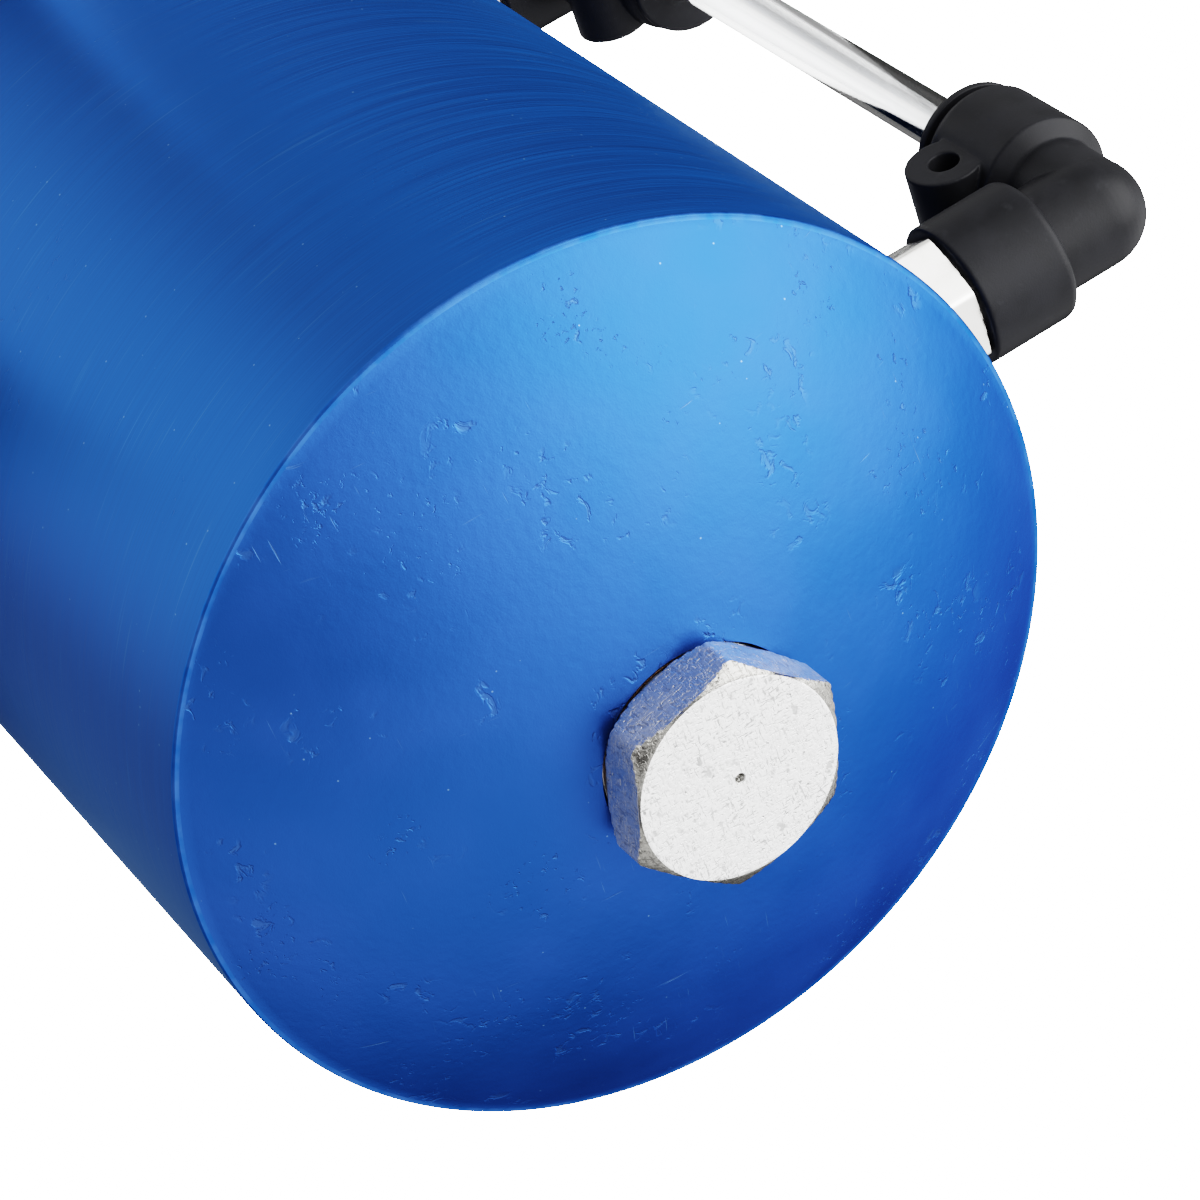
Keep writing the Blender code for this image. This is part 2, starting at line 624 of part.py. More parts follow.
def breather(parent):
    flange_low = LID_TOP + GAP
    flange_high = flange_low + NECK_FLANGE_THICKNESS
    neck = [(NECK_TUBE_BORE, NECK_TUBE_BOTTOM), (NECK_TUBE_RADIUS, NECK_TUBE_BOTTOM)]
    neck += [(NECK_TUBE_RADIUS, flange_low), (NECK_FLANGE_RADIUS, flange_low)]
    neck += [(NECK_FLANGE_RADIUS, flange_high), (NECK_TUBE_RADIUS, flange_high)]
    neck += [(NECK_TUBE_RADIUS, NECK_TUBE_TOP), (NECK_TUBE_BORE, NECK_TUBE_TOP)]
    node("breather_neck", turned(neck, MEDIUM), BLACK_ANODISED, parent)
    nut_top = LID_CEILING - GAP
    nut_hole = cylinder(NECK_TUBE_RADIUS + GAP, nut_top - 0.01, nut_top + 0.01, SMALL)
    nut = combined(hexagon(NECK_NUT_HEX, nut_top - NECK_NUT_THICKNESS, nut_top), "DIFFERENCE", nut_hole)
    node("breather_nut", nut, BLACK_ANODISED, parent)

    bore = NECK_TUBE_RADIUS + GAP
    lip = FILTER_START + FILTER_LIP
    foot, head = FILTER_FOOT_RADIUS, FILTER_HEAD_RADIUS
    boot = [(bore, COLLAR_BOTTOM), (COLLAR_RADIUS, COLLAR_BOTTOM), (COLLAR_RADIUS, FILTER_BASE)]
    boot += [(FILTER_BASE_RADIUS - 0.001, FILTER_BASE), (FILTER_BASE_RADIUS, FILTER_BASE + 0.001)]
    boot += [(FILTER_BASE_RADIUS, lip), (foot + GAP, lip), (foot + GAP, FILTER_START - GAP)]
    boot += [(bore, FILTER_START - GAP)]
    node("filter_boot", turned(boot, MEDIUM), RUBBER, parent)
    element = [(foot - FILTER_FOOT_WALL, FILTER_START), (foot, FILTER_START), (foot, lip)]
    element += [(head, FILTER_TOP), (head - FILTER_HEAD_WALL, FILTER_TOP)]
    node("filter_element", turned(element, MEDIUM), GAUZE, parent)
    side = FILTER_CAP_RADIUS
    cap = [(0, FILTER_TOP + GAP), (side, FILTER_TOP + GAP), (side, FILTER_CAP_TOP - FILTER_CAP_ROUND)]
    cap += [(side - FILTER_CAP_ROUND, FILTER_CAP_TOP), (0, FILTER_CAP_TOP)]
    node("filter_cap", turned(cap, MEDIUM), CHROME, parent)

    band_low, band_high = CLAMP_BAND
    middle = (band_low + band_high) / 2
    inner = COLLAR_RADIUS + GAP
    band = sleeve(inner, inner + CLAMP_BAND_THICKNESS, band_low, band_high, MEDIUM)
    near, far = CLAMP_HOUSING_X
    half = CLAMP_HOUSING_HALF
    housing = block((near, -half, band_low - 0.0004), (far, half, band_high + 0.0004))
    clamp = combined(band, "UNION", housing)
    screw_frame = Matrix.Translation((CLAMP_SCREW_X, 0, middle)) @ ALONG_Y
    screw_hole = cylinder(CLAMP_SCREW_RADIUS + GAP, -0.01, 0.01, SMALL, screw_frame)
    node("clamp_band", combined(clamp, "DIFFERENCE", screw_hole), STAINLESS, parent)
    head_low, head_high = CLAMP_SCREW_HEAD
    screw = cylinder(CLAMP_SCREW_RADIUS, CLAMP_SCREW_TIP, (head_low + head_high) / 2, SMALL)
    screw = combined(screw, "UNION", hexagon(CLAMP_SCREW_HEX, head_low, head_high))
    slot = block((-0.0005, -0.01, head_high - CLAMP_SCREW_SLOT), (0.0005, 0.01, head_high + 0.01))
    screw = combined(screw, "DIFFERENCE", slot)
    screw.transform(ALONG_Y)
    node("clamp_screw", screw, STAINLESS, parent, (CLAMP_SCREW_X, 0, middle))


# Mounting plate


def plate_mesh():
    """A flat plate with round corners, two countersunk holes and two upright slots, facing +Y."""
    front = PLATE_BACK - PLATE_THICKNESS
    bm = bmesh.new()
    inner_x, inner_z = PLATE_HALF_WIDTH - PLATE_CORNER, PLATE_HALF_HEIGHT - PLATE_CORNER
    corners = ((inner_x, inner_z, 0), (-inner_x, inner_z, 1), (-inner_x, -inner_z, 2), (inner_x, -inner_z, 3))
    steps = 5
    outline = []
    for x, z, quarter in corners:
        for i in range(steps + 1):
            turn = math.pi / 2 * (quarter + i / steps)
            spot = (x + PLATE_CORNER * math.cos(turn), front, z + PLATE_CORNER * math.sin(turn))
            outline.append(bm.verts.new(spot))
    face = bm.faces.new(outline)
    grown = bmesh.ops.extrude_face_region(bm, geom=[face])["geom"]
    moved = [item for item in grown if isinstance(item, bmesh.types.BMVert)]
    bmesh.ops.translate(bm, verts=moved, vec=(0, PLATE_THICKNESS, 0))
    plate = finished(bm)

    reach = (front - CUT, PLATE_BACK + CUT)
    for side in (-1, 1):
        for height in (-SLOT_HALF_TRAVEL, SLOT_HALF_TRAVEL):
            spot = Matrix.Translation((side * SLOT_X, 0, height)) @ ALONG_Y
            plate = combined(plate, "DIFFERENCE", cylinder(SLOT_HALF_WIDTH, *reach, SMALL, spot))
        low = (side * SLOT_X - SLOT_HALF_WIDTH, reach[0], -SLOT_HALF_TRAVEL)
        high = (side * SLOT_X + SLOT_HALF_WIDTH, reach[1], SLOT_HALF_TRAVEL)
        plate = combined(plate, "DIFFERENCE", block(low, high))
    shank, head = SCREW_RADIUS + GAP, SCREW_SINK_RADIUS
    flare = head - shank
    sink = [(0, reach[0]), (shank, reach[0]), (shank, PLATE_BACK - flare), (head, PLATE_BACK)]
    sink += [(head, reach[1]), (0, reach[1])]
    for height in (-SCREW_OFFSET, SCREW_OFFSET):
        spot = Matrix.Translation((0, 0, height)) @ ALONG_Y
        plate = combined(plate, "DIFFERENCE", turned(sink, SMALL, spot))
    return plate


def plate_screw_mesh():
    top = PLATE_BACK - 0.0001
    flare = SCREW_HEAD_RADIUS - SCREW_RADIUS
    tip = PLATE_BACK - SCREW_LENGTH
    profile = [(0, tip), (SCREW_RADIUS, tip), (SCREW_RADIUS, top - flare - GAP)]
    profile += [(SCREW_HEAD_RADIUS, top - GAP), (SCREW_HEAD_RADIUS, top), (0, top)]
    key = hexagon(SCREW_KEY, top - SCREW_KEY_DEPTH, top + CUT)
    screw = combined(turned(profile, SMALL), "DIFFERENCE", key)
    screw.transform(ALONG_Y)
    return screw


def mounting(parent):
    node("mounting_plate", plate_mesh(), BLACK_STEEL, parent, (0, 0, MOUNT_HEIGHT))
    front = PLATE_BACK - PLATE_THICKNESS
    thread = SCREW_RADIUS + GAP
    profile = [(0, CAN_RADIUS * 0.9), (BOSS_RADIUS, CAN_RADIUS * 0.9), (BOSS_RADIUS, front - GAP)]
    profile += [(thread, front - GAP), (thread, CAN_RADIUS + 0.0015), (0, CAN_RADIUS + 0.0015)]
    wall = cylinder(CAN_RADIUS + GAP, -0.02, 0.02, LARGE)
    boss = combined(turned(profile, MEDIUM, ALONG_Y), "DIFFERENCE", wall)
    screw = plate_screw_mesh()
    for name, height in (("lower", MOUNT_HEIGHT - SCREW_OFFSET), ("upper", MOUNT_HEIGHT + SCREW_OFFSET)):
        node(f"{name}_plate_boss", boss, BLUE, parent, (0, 0, height))
        node(f"{name}_plate_screw", screw, STAINLESS, parent, (0, 0, height))


for old in list(bpy.data.objects):
    bpy.data.objects.remove(old, do_unlink=True)

BLUE = material("anodised_blue", (0.02, 0.11, 0.55), 0.35, 1.0)
WELDED = material("welded_aluminium", (0.55, 0.57, 0.60), 0.45, 1.0)
PLUG = material("bare_aluminium", (0.80, 0.81, 0.82), 0.35, 1.0)
NICKEL = material("nickel_plate", (0.85, 0.84, 0.80), 0.20, 1.0)
BLACK_PLASTIC = material("black_plastic", (0.012, 0.012, 0.014), 0.50)
CLEAR_TUBE = material("clear_tube", (0.92, 0.94, 0.95), 0.10, 0.0, 0.35)
RUBBER = material("black_rubber", (0.015, 0.015, 0.015), 0.75)
COPPER = material("copper", (0.72, 0.36, 0.22), 0.35, 1.0)
STAINLESS = material("stainless", (0.62, 0.62, 0.60), 0.30, 1.0)
STEEL_WOOL = material("steel_wool", (0.45, 0.45, 0.45), 0.60, 1.0)
BLACK_ANODISED = material("black_anodised", (0.02, 0.02, 0.022), 0.40, 1.0)
GAUZE = material("filter_gauze", (0.03, 0.05, 0.14), 0.85)
CHROME = material("chrome", (0.85, 0.86, 0.87), 0.08, 1.0)
BLACK_STEEL = material("black_powder_coat", (0.02, 0.02, 0.02), 0.55)

can_frame = empty("can_frame", (0, -PLATE_BACK, -MOUNT_HEIGHT))
node("can_shell", can_mesh(), BLUE, can_frame)
drain(can_frame)
sight_gauge(can_frame)
lid(can_frame)
hose_ports(can_frame)
baffle(can_frame)
drop_tube(can_frame)
breather(can_frame)
mounting(can_frame)
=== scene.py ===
"""The looks of the oil catch can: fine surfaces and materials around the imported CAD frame.

Every shape is made in the can's own frame, where z = 0 is the crease between the wall and the
domed bottom, the axis is x = y = 0 and the sight tube is on the -Y side. CAN_FRAME carries that
frame to the row's. Lengths are in metres.
"""

import json
import math

import bmesh
import bpy
from mathutils import Matrix, Vector

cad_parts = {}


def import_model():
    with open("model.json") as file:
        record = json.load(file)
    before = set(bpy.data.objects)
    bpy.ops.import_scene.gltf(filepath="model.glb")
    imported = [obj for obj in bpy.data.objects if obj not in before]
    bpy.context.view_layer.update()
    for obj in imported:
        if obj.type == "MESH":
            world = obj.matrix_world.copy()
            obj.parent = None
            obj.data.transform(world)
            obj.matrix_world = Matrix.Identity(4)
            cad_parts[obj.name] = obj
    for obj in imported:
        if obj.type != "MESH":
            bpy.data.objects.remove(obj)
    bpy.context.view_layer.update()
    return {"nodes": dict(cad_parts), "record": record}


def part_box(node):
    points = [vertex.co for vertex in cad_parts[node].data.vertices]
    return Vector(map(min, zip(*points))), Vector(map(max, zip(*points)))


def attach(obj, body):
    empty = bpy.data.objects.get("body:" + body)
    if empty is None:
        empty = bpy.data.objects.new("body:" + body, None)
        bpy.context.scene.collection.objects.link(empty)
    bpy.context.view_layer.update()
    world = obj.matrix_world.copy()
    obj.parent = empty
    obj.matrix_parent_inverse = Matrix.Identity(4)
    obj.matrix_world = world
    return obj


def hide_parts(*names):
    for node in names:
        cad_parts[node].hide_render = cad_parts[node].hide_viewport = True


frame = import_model()
NODES = frame["nodes"]

# The can, read from the frame
SHELL_LOW, SHELL_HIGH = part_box("can_shell")
CAN_RADIUS = (SHELL_HIGH.x - SHELL_LOW.x) / 2
CAN_HEIGHT = 0.160
CAN_FRAME = Vector(
    ((SHELL_LOW.x + SHELL_HIGH.x) / 2, (SHELL_LOW.y + SHELL_HIGH.y) / 2, SHELL_HIGH.z - CAN_HEIGHT)
)
WALL = 0.0025
DOME_HEIGHT = 0.0162
DOME_SPHERE = (CAN_RADIUS**2 + DOME_HEIGHT**2) / (2 * DOME_HEIGHT)
GAP = 0.0003
BORE = CAN_RADIUS - WALL

ALONG_X = Matrix.Rotation(math.pi / 2, 4, "Y")
ALONG_Y = Matrix.Rotation(-math.pi / 2, 4, "X")
ALONG_MINUS_Y = Matrix.Rotation(math.pi / 2, 4, "X")


def in_can(node):
    """A node's box, moved to the can's own frame."""
    low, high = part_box(node)
    return low - CAN_FRAME, high - CAN_FRAME


def at_height(level):
    return Matrix.Translation((0, 0, level))


def beside(node):
    """The place on the axis that is level with a node's middle."""
    low, high = in_can(node)
    return at_height((low.z + high.z) / 2)


def placed(name, data, matrix=None):
    """A new object in the scene."""
    made = bpy.data.objects.new(name, data)
    bpy.context.scene.collection.objects.link(made)
    if matrix is not None:
        made.matrix_world = matrix
    return made


def shaded(mesh, sharp=35):
    mesh.shade_smooth()
    mesh.set_sharp_from_angle(angle=math.radians(sharp))


# Shader building


def new_node(tree, kind, inputs=None, **settings):
    """A node with its settings, its inputs linked or set by name or number."""
    node = tree.nodes.new(kind)
    for key, value in settings.items():
        setattr(node, key, value)
    for name, source in (inputs or {}).items():
        if isinstance(source, bpy.types.NodeSocket):
            tree.links.new(source, node.inputs[name])
        else:
            node.inputs[name].default_value = source
    return node


class Shader:
    """A material whose node tree is built step by step."""

    def __init__(self, name, **values):
        self.material = bpy.data.materials.new(name)
        self.material.use_nodes = True
        self.tree = self.material.node_tree
        self.principled = self.tree.nodes["Principled BSDF"]
        for key, value in values.items():
            socket = self.principled.inputs[key.replace("_", " ")]
            socket.default_value = (*value, 1.0) if isinstance(value, tuple) else value
        self.position = self.add("ShaderNodeTexCoord").outputs["Object"]

    def add(self, kind, inputs=None, **settings):
        return new_node(self.tree, kind, inputs, **settings)

    def scaled(self, scale, rotation=(0, 0, 0)):
        """The surface position with each axis multiplied, after a turn."""
        inputs = {"Vector": self.position, "Scale": scale, "Rotation": rotation}
        return self.add("ShaderNodeMapping", inputs).outputs["Vector"]

    def noise(self, scale, detail=2.0, roughness=0.5, vector=None, distortion=0.0):
        inputs = {"Vector": vector or self.position, "Scale": scale, "Detail": detail}
        inputs |= {"Roughness": roughness, "Distortion": distortion}
        return self.add("ShaderNodeTexNoise", inputs).outputs["Fac"]

    def streaks(self, scale, turn=(0, 0, 0), detail=2.0, roughness=0.5, distortion=0.0):
        """Noise stretched along one way."""
        return self.noise(1.0, detail, roughness, self.scaled(scale, turn), distortion)

    def math(self, operation, first, second, clamp=False):
        inputs = {0: first, 1: second}
        return self.add("ShaderNodeMath", inputs, operation=operation, use_clamp=clamp).outputs[0]

    def times(self, first, second):
        return self.math("MULTIPLY", first, second)

    def most(self, first, second):
        return self.math("MAXIMUM", first, second)

    def ramp(self, value, low, high, out_low=0.0, out_high=1.0):
        """The value taken from one range to another, clamped, with a smooth step."""
        inputs = {"Value": value, "From Min": low, "From Max": high, "To Min": out_low, "To Max": out_high}
        return self.add("ShaderNodeMapRange", inputs, interpolation_type="SMOOTHSTEP").outputs["Result"]

    def mix(self, factor, first, second):
        node = self.add("ShaderNodeMix", {"Factor": factor}, data_type="RGBA")
        sockets = [socket for socket in node.inputs if socket.type == "RGBA"]
        for socket, colour in zip(sockets, (first, second)):
            if isinstance(colour, tuple):
                socket.default_value = (*colour, 1.0)
            else:
                self.tree.links.new(colour, socket)
        return next(socket for socket in node.outputs if socket.type == "RGBA")

    def bump(self, height, distance, strength=1.0, under=None):
        inputs = {"Height": height, "Distance": distance, "Strength": strength}
        if under is not None:
            inputs["Normal"] = under
        return self.add("ShaderNodeBump", inputs).outputs["Normal"]

    def finish(self, colour=None, roughness=None, normal=None):
        for source, name in ((colour, "Base Color"), (roughness, "Roughness"), (normal, "Normal")):
            if source is not None:
                self.tree.links.new(source, self.principled.inputs[name])
        return self.material

    def tangent(self):
        """Brushing that runs round the can's axis."""
        node = self.add("ShaderNodeTangent", direction_type="RADIAL", axis="Z")
        self.tree.links.new(node.outputs["Tangent"], self.principled.inputs["Tangent"])


# The anodised blue: turned parts and dome, then the wall, then each one's tint at a glancing angle
BLUE = (0.0182, 0.0735, 0.290)
BLUE_DEEP = (0.0140, 0.0650, 0.262)
BLUE_PALE = (0.0235, 0.079, 0.320)
WALL_BLUE = (0.0045, 0.070, 0.275)
WALL_DEEP = (0.0030, 0.055, 0.220)
BLUE_EDGE = (0.06, 0.28, 0.48)
WALL_EDGE = (0.22, 0.42, 0.52)
CREASE_BLUE = (0.016, 0.076, 0.300)
# The paler crease blue is partly wear and partly a painted highlight along the crease.
CREASE_WEAR_AND_HIGHLIGHT = (0.040, 0.110, 0.370)
WALL_SCRATCH = (0.30, 0.42, 0.62)
DOME_SCRATCH = (0.30, 0.48, 0.78)


def clouded(shader, scale, low, high):
    """Two colours that drift into each other: gives the mixed colour and the noise behind it."""
    cloud = shader.noise(scale, 3.0, 0.6)
    return shader.mix(shader.ramp(cloud, 0.3, 0.7), low, high), cloud


def nicks(shader, grain, cluster, threshold, seed_shift):
    """Sparse small marks: fine noise kept only inside patches of a coarser one."""
    shift = (seed_shift, seed_shift * 0.7, -seed_shift)
    spot = shader.add("ShaderNodeVectorMath", {0: shader.position, 1: shift}, operation="ADD").outputs[0]
    fine = shader.ramp(shader.noise(grain, 3.0, 0.6, spot, 0.6), threshold, threshold + 0.12)
    patch = shader.ramp(shader.noise(cluster, 1.0, 0.5, spot), 0.56, 0.66)
    return shader.times(fine, patch)


def specks(shader, scale, radius, keep):
    """Dust: a tiny dot in some of the cells."""
    node = shader.add("ShaderNodeTexVoronoi", {"Vector": shader.position, "Scale": scale})
    dot = shader.ramp(node.outputs["Distance"], radius * 0.6, radius, 1.0, 0.0)
    separate = shader.add("ShaderNodeSeparateColor", {0: node.outputs["Color"]})
    chosen = shader.math("LESS_THAN", separate.outputs[0], keep)
    return shader.times(dot, chosen)


def blue_wall():
    """Anodised aluminium brushed round the can."""
    s = Shader("anodised_blue_wall", Metallic=1.0, Anisotropic=0.72, Anisotropic_Rotation=0.25,
               Coat_Weight=0.22, Coat_Roughness=0.42, Specular_Tint=WALL_EDGE)
    s.tangent()
    fine = s.streaks((40, 40, 6000), roughness=0.6)
    medium = s.streaks((30, 30, 2400))
    hairline = s.ramp(s.streaks((70, 70, 4200), (0.004, 0.006, 0.0), 1.0), 0.66, 0.80)
    wide = s.noise(14.0)
    lines = s.math("ADD", s.times(fine, 0.84), s.times(medium, 0.16))
    body = s.mix(s.ramp(lines, 0.30, 0.70), WALL_DEEP, WALL_BLUE)
    body = s.mix(s.ramp(wide, 0.35, 0.7, 0.0, 0.2), body, BLUE_PALE)
    pale = s.most(s.times(hairline, 0.07), s.times(specks(s, 640.0, 0.085, 0.22), 0.28))
    colour = s.mix(pale, body, WALL_SCRATCH)
    roughness = s.ramp(lines, 0.25, 0.75, 0.34, 0.43)
    marks = nicks(s, 900.0, 45.0, 0.62, 0.31)
    normal = s.bump(marks, -0.00006, 0.5, s.bump(lines, 0.000007, 0.4))
    return s.finish(colour, roughness, normal)


def blue_dome():
    """Satin anodised aluminium with small handling marks."""
    s = Shader("anodised_blue_dome", Metallic=1.0, Coat_Weight=0.10, Coat_Roughness=0.42,
               Specular_Tint=BLUE_EDGE)
    grain = s.noise(5200.0, 2.0, 0.6)
    peel = s.noise(900.0)
    cloud = s.noise(38.0, 3.0, 0.55)
    dents = nicks(s, 540.0, 90.0, 0.565, 0.55)
    marks = s.most(nicks(s, 1100.0, 80.0, 0.60, 0.13), dents)
    scratch_a = s.streaks((2600, 160, 160), (0.2, 0.1, 0.7))
    scratch_b = s.streaks((160, 3000, 160), (0.1, 0.3, 0.35))
    patch = s.ramp(s.noise(70.0, 1.0), 0.52, 0.62)
    scratches = s.math("ADD", s.ramp(scratch_a, 0.70, 0.80), s.ramp(scratch_b, 0.70, 0.80), True)
    scratches = s.times(scratches, patch)
    pale = s.most(s.times(specks(s, 640.0, 0.08, 0.14), 0.3), s.times(scratches, 0.16))
    pale = s.most(pale, s.times(marks, 0.05))
    body = s.mix(s.ramp(cloud, 0.3, 0.7), BLUE_DEEP, BLUE_PALE)
    colour = s.mix(pale, body, DOME_SCRATCH)
    roughness = s.ramp(cloud, 0.3, 0.7, 0.45, 0.52)
    normal = s.bump(grain, 0.00002, 0.6)
    normal = s.bump(peel, 0.00005, 0.7, normal)
    normal = s.bump(marks, -0.00010, 0.75, normal)
    normal = s.bump(scratches, -0.00004, 0.6, normal)
    return s.finish(colour, roughness, normal)


def blue_crease():
    """The crease between wall and dome, a little paler: partly rubbed wear, partly a painted highlight along
    the crease.
    """
    s = Shader("anodised_blue_crease", Metallic=1.0, Specular_Tint=WALL_EDGE)
    wear_and_highlight = s.noise(300.0, 3.0, 0.6)
    colour = s.mix(s.ramp(wear_and_highlight, 0.3, 0.7), CREASE_BLUE, CREASE_WEAR_AND_HIGHLIGHT)
    return s.finish(colour, s.ramp(wear_and_highlight, 0.3, 0.7, 0.40, 0.50))


def blue_turned():
    """Anodised turned parts: the lid, the port bungs and the bosses."""
    s = Shader("anodised_blue_turned", Metallic=1.0, Anisotropic=0.5, Anisotropic_Rotation=0.25,
               Specular_Tint=BLUE_EDGE)
    s.tangent()
    inputs = {"Vector": s.position, "Scale": 620.0, "Distortion": 0.6, "Detail": 2.0}
    ring = s.add("ShaderNodeTexWave", inputs, wave_type="RINGS", rings_direction="Z")
    cloud = s.noise(60.0, 3.0)
    colour = s.mix(cloud, BLUE_DEEP, BLUE)
    roughness = s.ramp(s.noise(900.0), 0.3, 0.7, 0.24, 0.36)
    return s.finish(colour, roughness, s.bump(ring.outputs["Fac"], 0.000008, 0.4))


def bare_aluminium(name, pale, worn_tone, roughness):
    """Machined aluminium, handled and scratched: the drain plug and the barbs. Its darker copies paint shade
    on the plug's chamfers, and in part on its sides.
    """

    def dimmed(share):
        return tuple(share * tone for tone in pale)

    s = Shader(name, Metallic=0.96)
    speckle = s.noise(3600.0, 3.0, 0.75)
    cloud = s.noise(230.0, 3.0, 0.6)
    dash_a = s.streaks((5200, 1000, 800), (0.0, 0.0, 0.5), 2.0, 0.6)
    dash_b = s.streaks((900, 4800, 800), (0.0, 0.0, 0.9), 2.0, 0.6)
    dash_c = s.streaks((800, 900, 4800), (0.5, 0.3, 0.0), 2.0, 0.6)
    dashes = s.most(s.ramp(dash_a, 0.55, 0.66), s.ramp(dash_b, 0.56, 0.67))
    dashes = s.most(dashes, s.ramp(dash_c, 0.58, 0.70))
    pits = s.ramp(s.noise(1700.0), 0.66, 0.74)
    worn = s.ramp(cloud, 0.34, 0.62, 0.25, 1.0)
    body = s.mix(s.ramp(speckle, 0.30, 0.70), dimmed(0.76), pale)
    body = s.mix(s.times(dashes, worn), body, dimmed(worn_tone))
    colour = s.mix(s.times(pits, 0.75), body, dimmed(0.3))
    normal = s.bump(speckle, 0.00004, 0.6)
    normal = s.bump(dashes, -0.00005, 0.6, normal)
    normal = s.bump(pits, -0.00008, 0.7, normal)
    return s.finish(colour, s.ramp(cloud, 0.3, 0.7, *roughness), normal)


def nickel():
    s = Shader("nickel_plate", Metallic=1.0)
    cloud = s.noise(300.0, 3.0, 0.6)
    scratch = s.streaks((200, 2400, 2400), (0.3, 0.2, 0.1), 2.0, 0.6)
    colour = s.mix(s.ramp(cloud, 0.3, 0.75), (0.90, 0.89, 0.86), (0.80, 0.79, 0.75))
    roughness = s.ramp(cloud, 0.3, 0.7, 0.16, 0.30)
    return s.finish(colour, roughness, s.bump(s.ramp(scratch, 0.5, 0.8), -0.000012, 0.4))


def black_plastic():
    """Glass-filled nylon with a fine spark-eroded texture."""
    s = Shader("black_plastic", Specular_IOR_Level=0.11)
    grain = s.noise(4200.0, 3.0, 0.65)
    rub = s.ramp(s.noise(420.0, 3.0, 0.6), 0.60, 0.78)
    body, cloud = clouded(s, 160.0, (0.0080, 0.0082, 0.0094), (0.0125, 0.0127, 0.0145))
    colour = s.mix(s.times(rub, 0.25), body, (0.030, 0.031, 0.034))
    roughness = s.ramp(cloud, 0.3, 0.7, 0.38, 0.50)
    return s.finish(colour, roughness, s.bump(grain, 0.000024, 0.55))


def clear_tube():
    s = Shader("clear_tube", IOR=1.5, Roughness=0.03, Transmission_Weight=1.0, Base_Color=(0.97, 0.98, 0.985))
    streak = s.streaks((700, 700, 6))
    return s.finish(normal=s.bump(streak, 0.00002, 0.25))


def rubber():
    s = Shader("black_rubber")
    grain = s.noise(2600.0, 3.0, 0.6)
    cloud = s.noise(120.0, 3.0, 0.6)
    colour = s.mix(s.ramp(cloud, 0.3, 0.75), (0.010, 0.010, 0.010), (0.026, 0.025, 0.024))
    return s.finish(colour, s.ramp(cloud, 0.3, 0.7, 0.58, 0.78), s.bump(grain, 0.00004, 0.5))


def metal(name, low, high, roughness, grain=900.0, stretch=(1, 1, 1), depth=0.000015):
    """A plain metal with grain stretched along one way."""
    s = Shader(name, Metallic=1.0)
    streak = s.noise(grain, 3.0, 0.6, s.scaled(stretch))
    colour = clouded(s, 90.0, low, high)[0]
    return s.finish(colour, s.ramp(streak, 0.25, 0.75, *roughness), s.bump(streak, depth, 0.5))


def steel_wool():
    s = Shader("steel_wool", Metallic=1.0)
    strand_a = s.streaks((900, 900, 120), (0.4, 0.2, 0.1), 3.0, 0.6, 1.5)
    strand_b = s.streaks((120, 900, 900), (0.1, 0.5, 0.3), 3.0, 0.6, 1.5)
    strands = s.most(s.ramp(strand_a, 0.45, 0.6), s.ramp(strand_b, 0.45, 0.6))
    colour = s.mix(strands, (0.10, 0.10, 0.10), (0.62, 0.62, 0.60))
    return s.finish(colour, s.ramp(strands, 0.0, 1.0, 0.8, 0.4), s.bump(strands, 0.0004, 0.9))


def black_anodised():
    s = Shader("black_anodised", Metallic=0.6, Coat_Weight=0.2, Coat_Roughness=0.25)
    turning = s.streaks((4200, 60, 60))
    colour = clouded(s, 140.0, (0.012, 0.012, 0.014), (0.028, 0.028, 0.031))[0]
    return s.finish(colour, s.ramp(turning, 0.3, 0.7, 0.26, 0.42), s.bump(turning, 0.000012, 0.4))


def gauze():
    """Oiled cotton gauze: a close weave of blue-grey threads."""
    s = Shader("filter_gauze", Sheen_Weight=0.25, Sheen_Roughness=0.5)
    inputs = {"Vector": s.position, "Scale": 420.0, "Distortion": 0.8}
    weaves = [s.add("ShaderNodeTexWave", inputs, bands_direction=way) for way in ("Z", "DIAGONAL")]
    threads = s.times(*(weave.outputs["Fac"] for weave in weaves))
    colour = s.mix(s.ramp(threads, 0.0, 0.8), (0.010, 0.018, 0.060), (0.045, 0.085, 0.26))
    return s.finish(colour, s.ramp(threads, 0.0, 1.0, 0.9, 0.75), s.bump(threads, 0.00015, 0.7))


def powder_coat():
    s = Shader("black_powder_coat", Specular_IOR_Level=0.5)
    peel = s.noise(950.0)
    cloud = s.noise(70.0)
    colour = s.mix(s.ramp(cloud, 0.3, 0.7), (0.010, 0.010, 0.011), (0.018, 0.018, 0.019))
    return s.finish(colour, s.ramp(peel, 0.3, 0.7, 0.34, 0.50), s.bump(peel, 0.00006, 0.6))


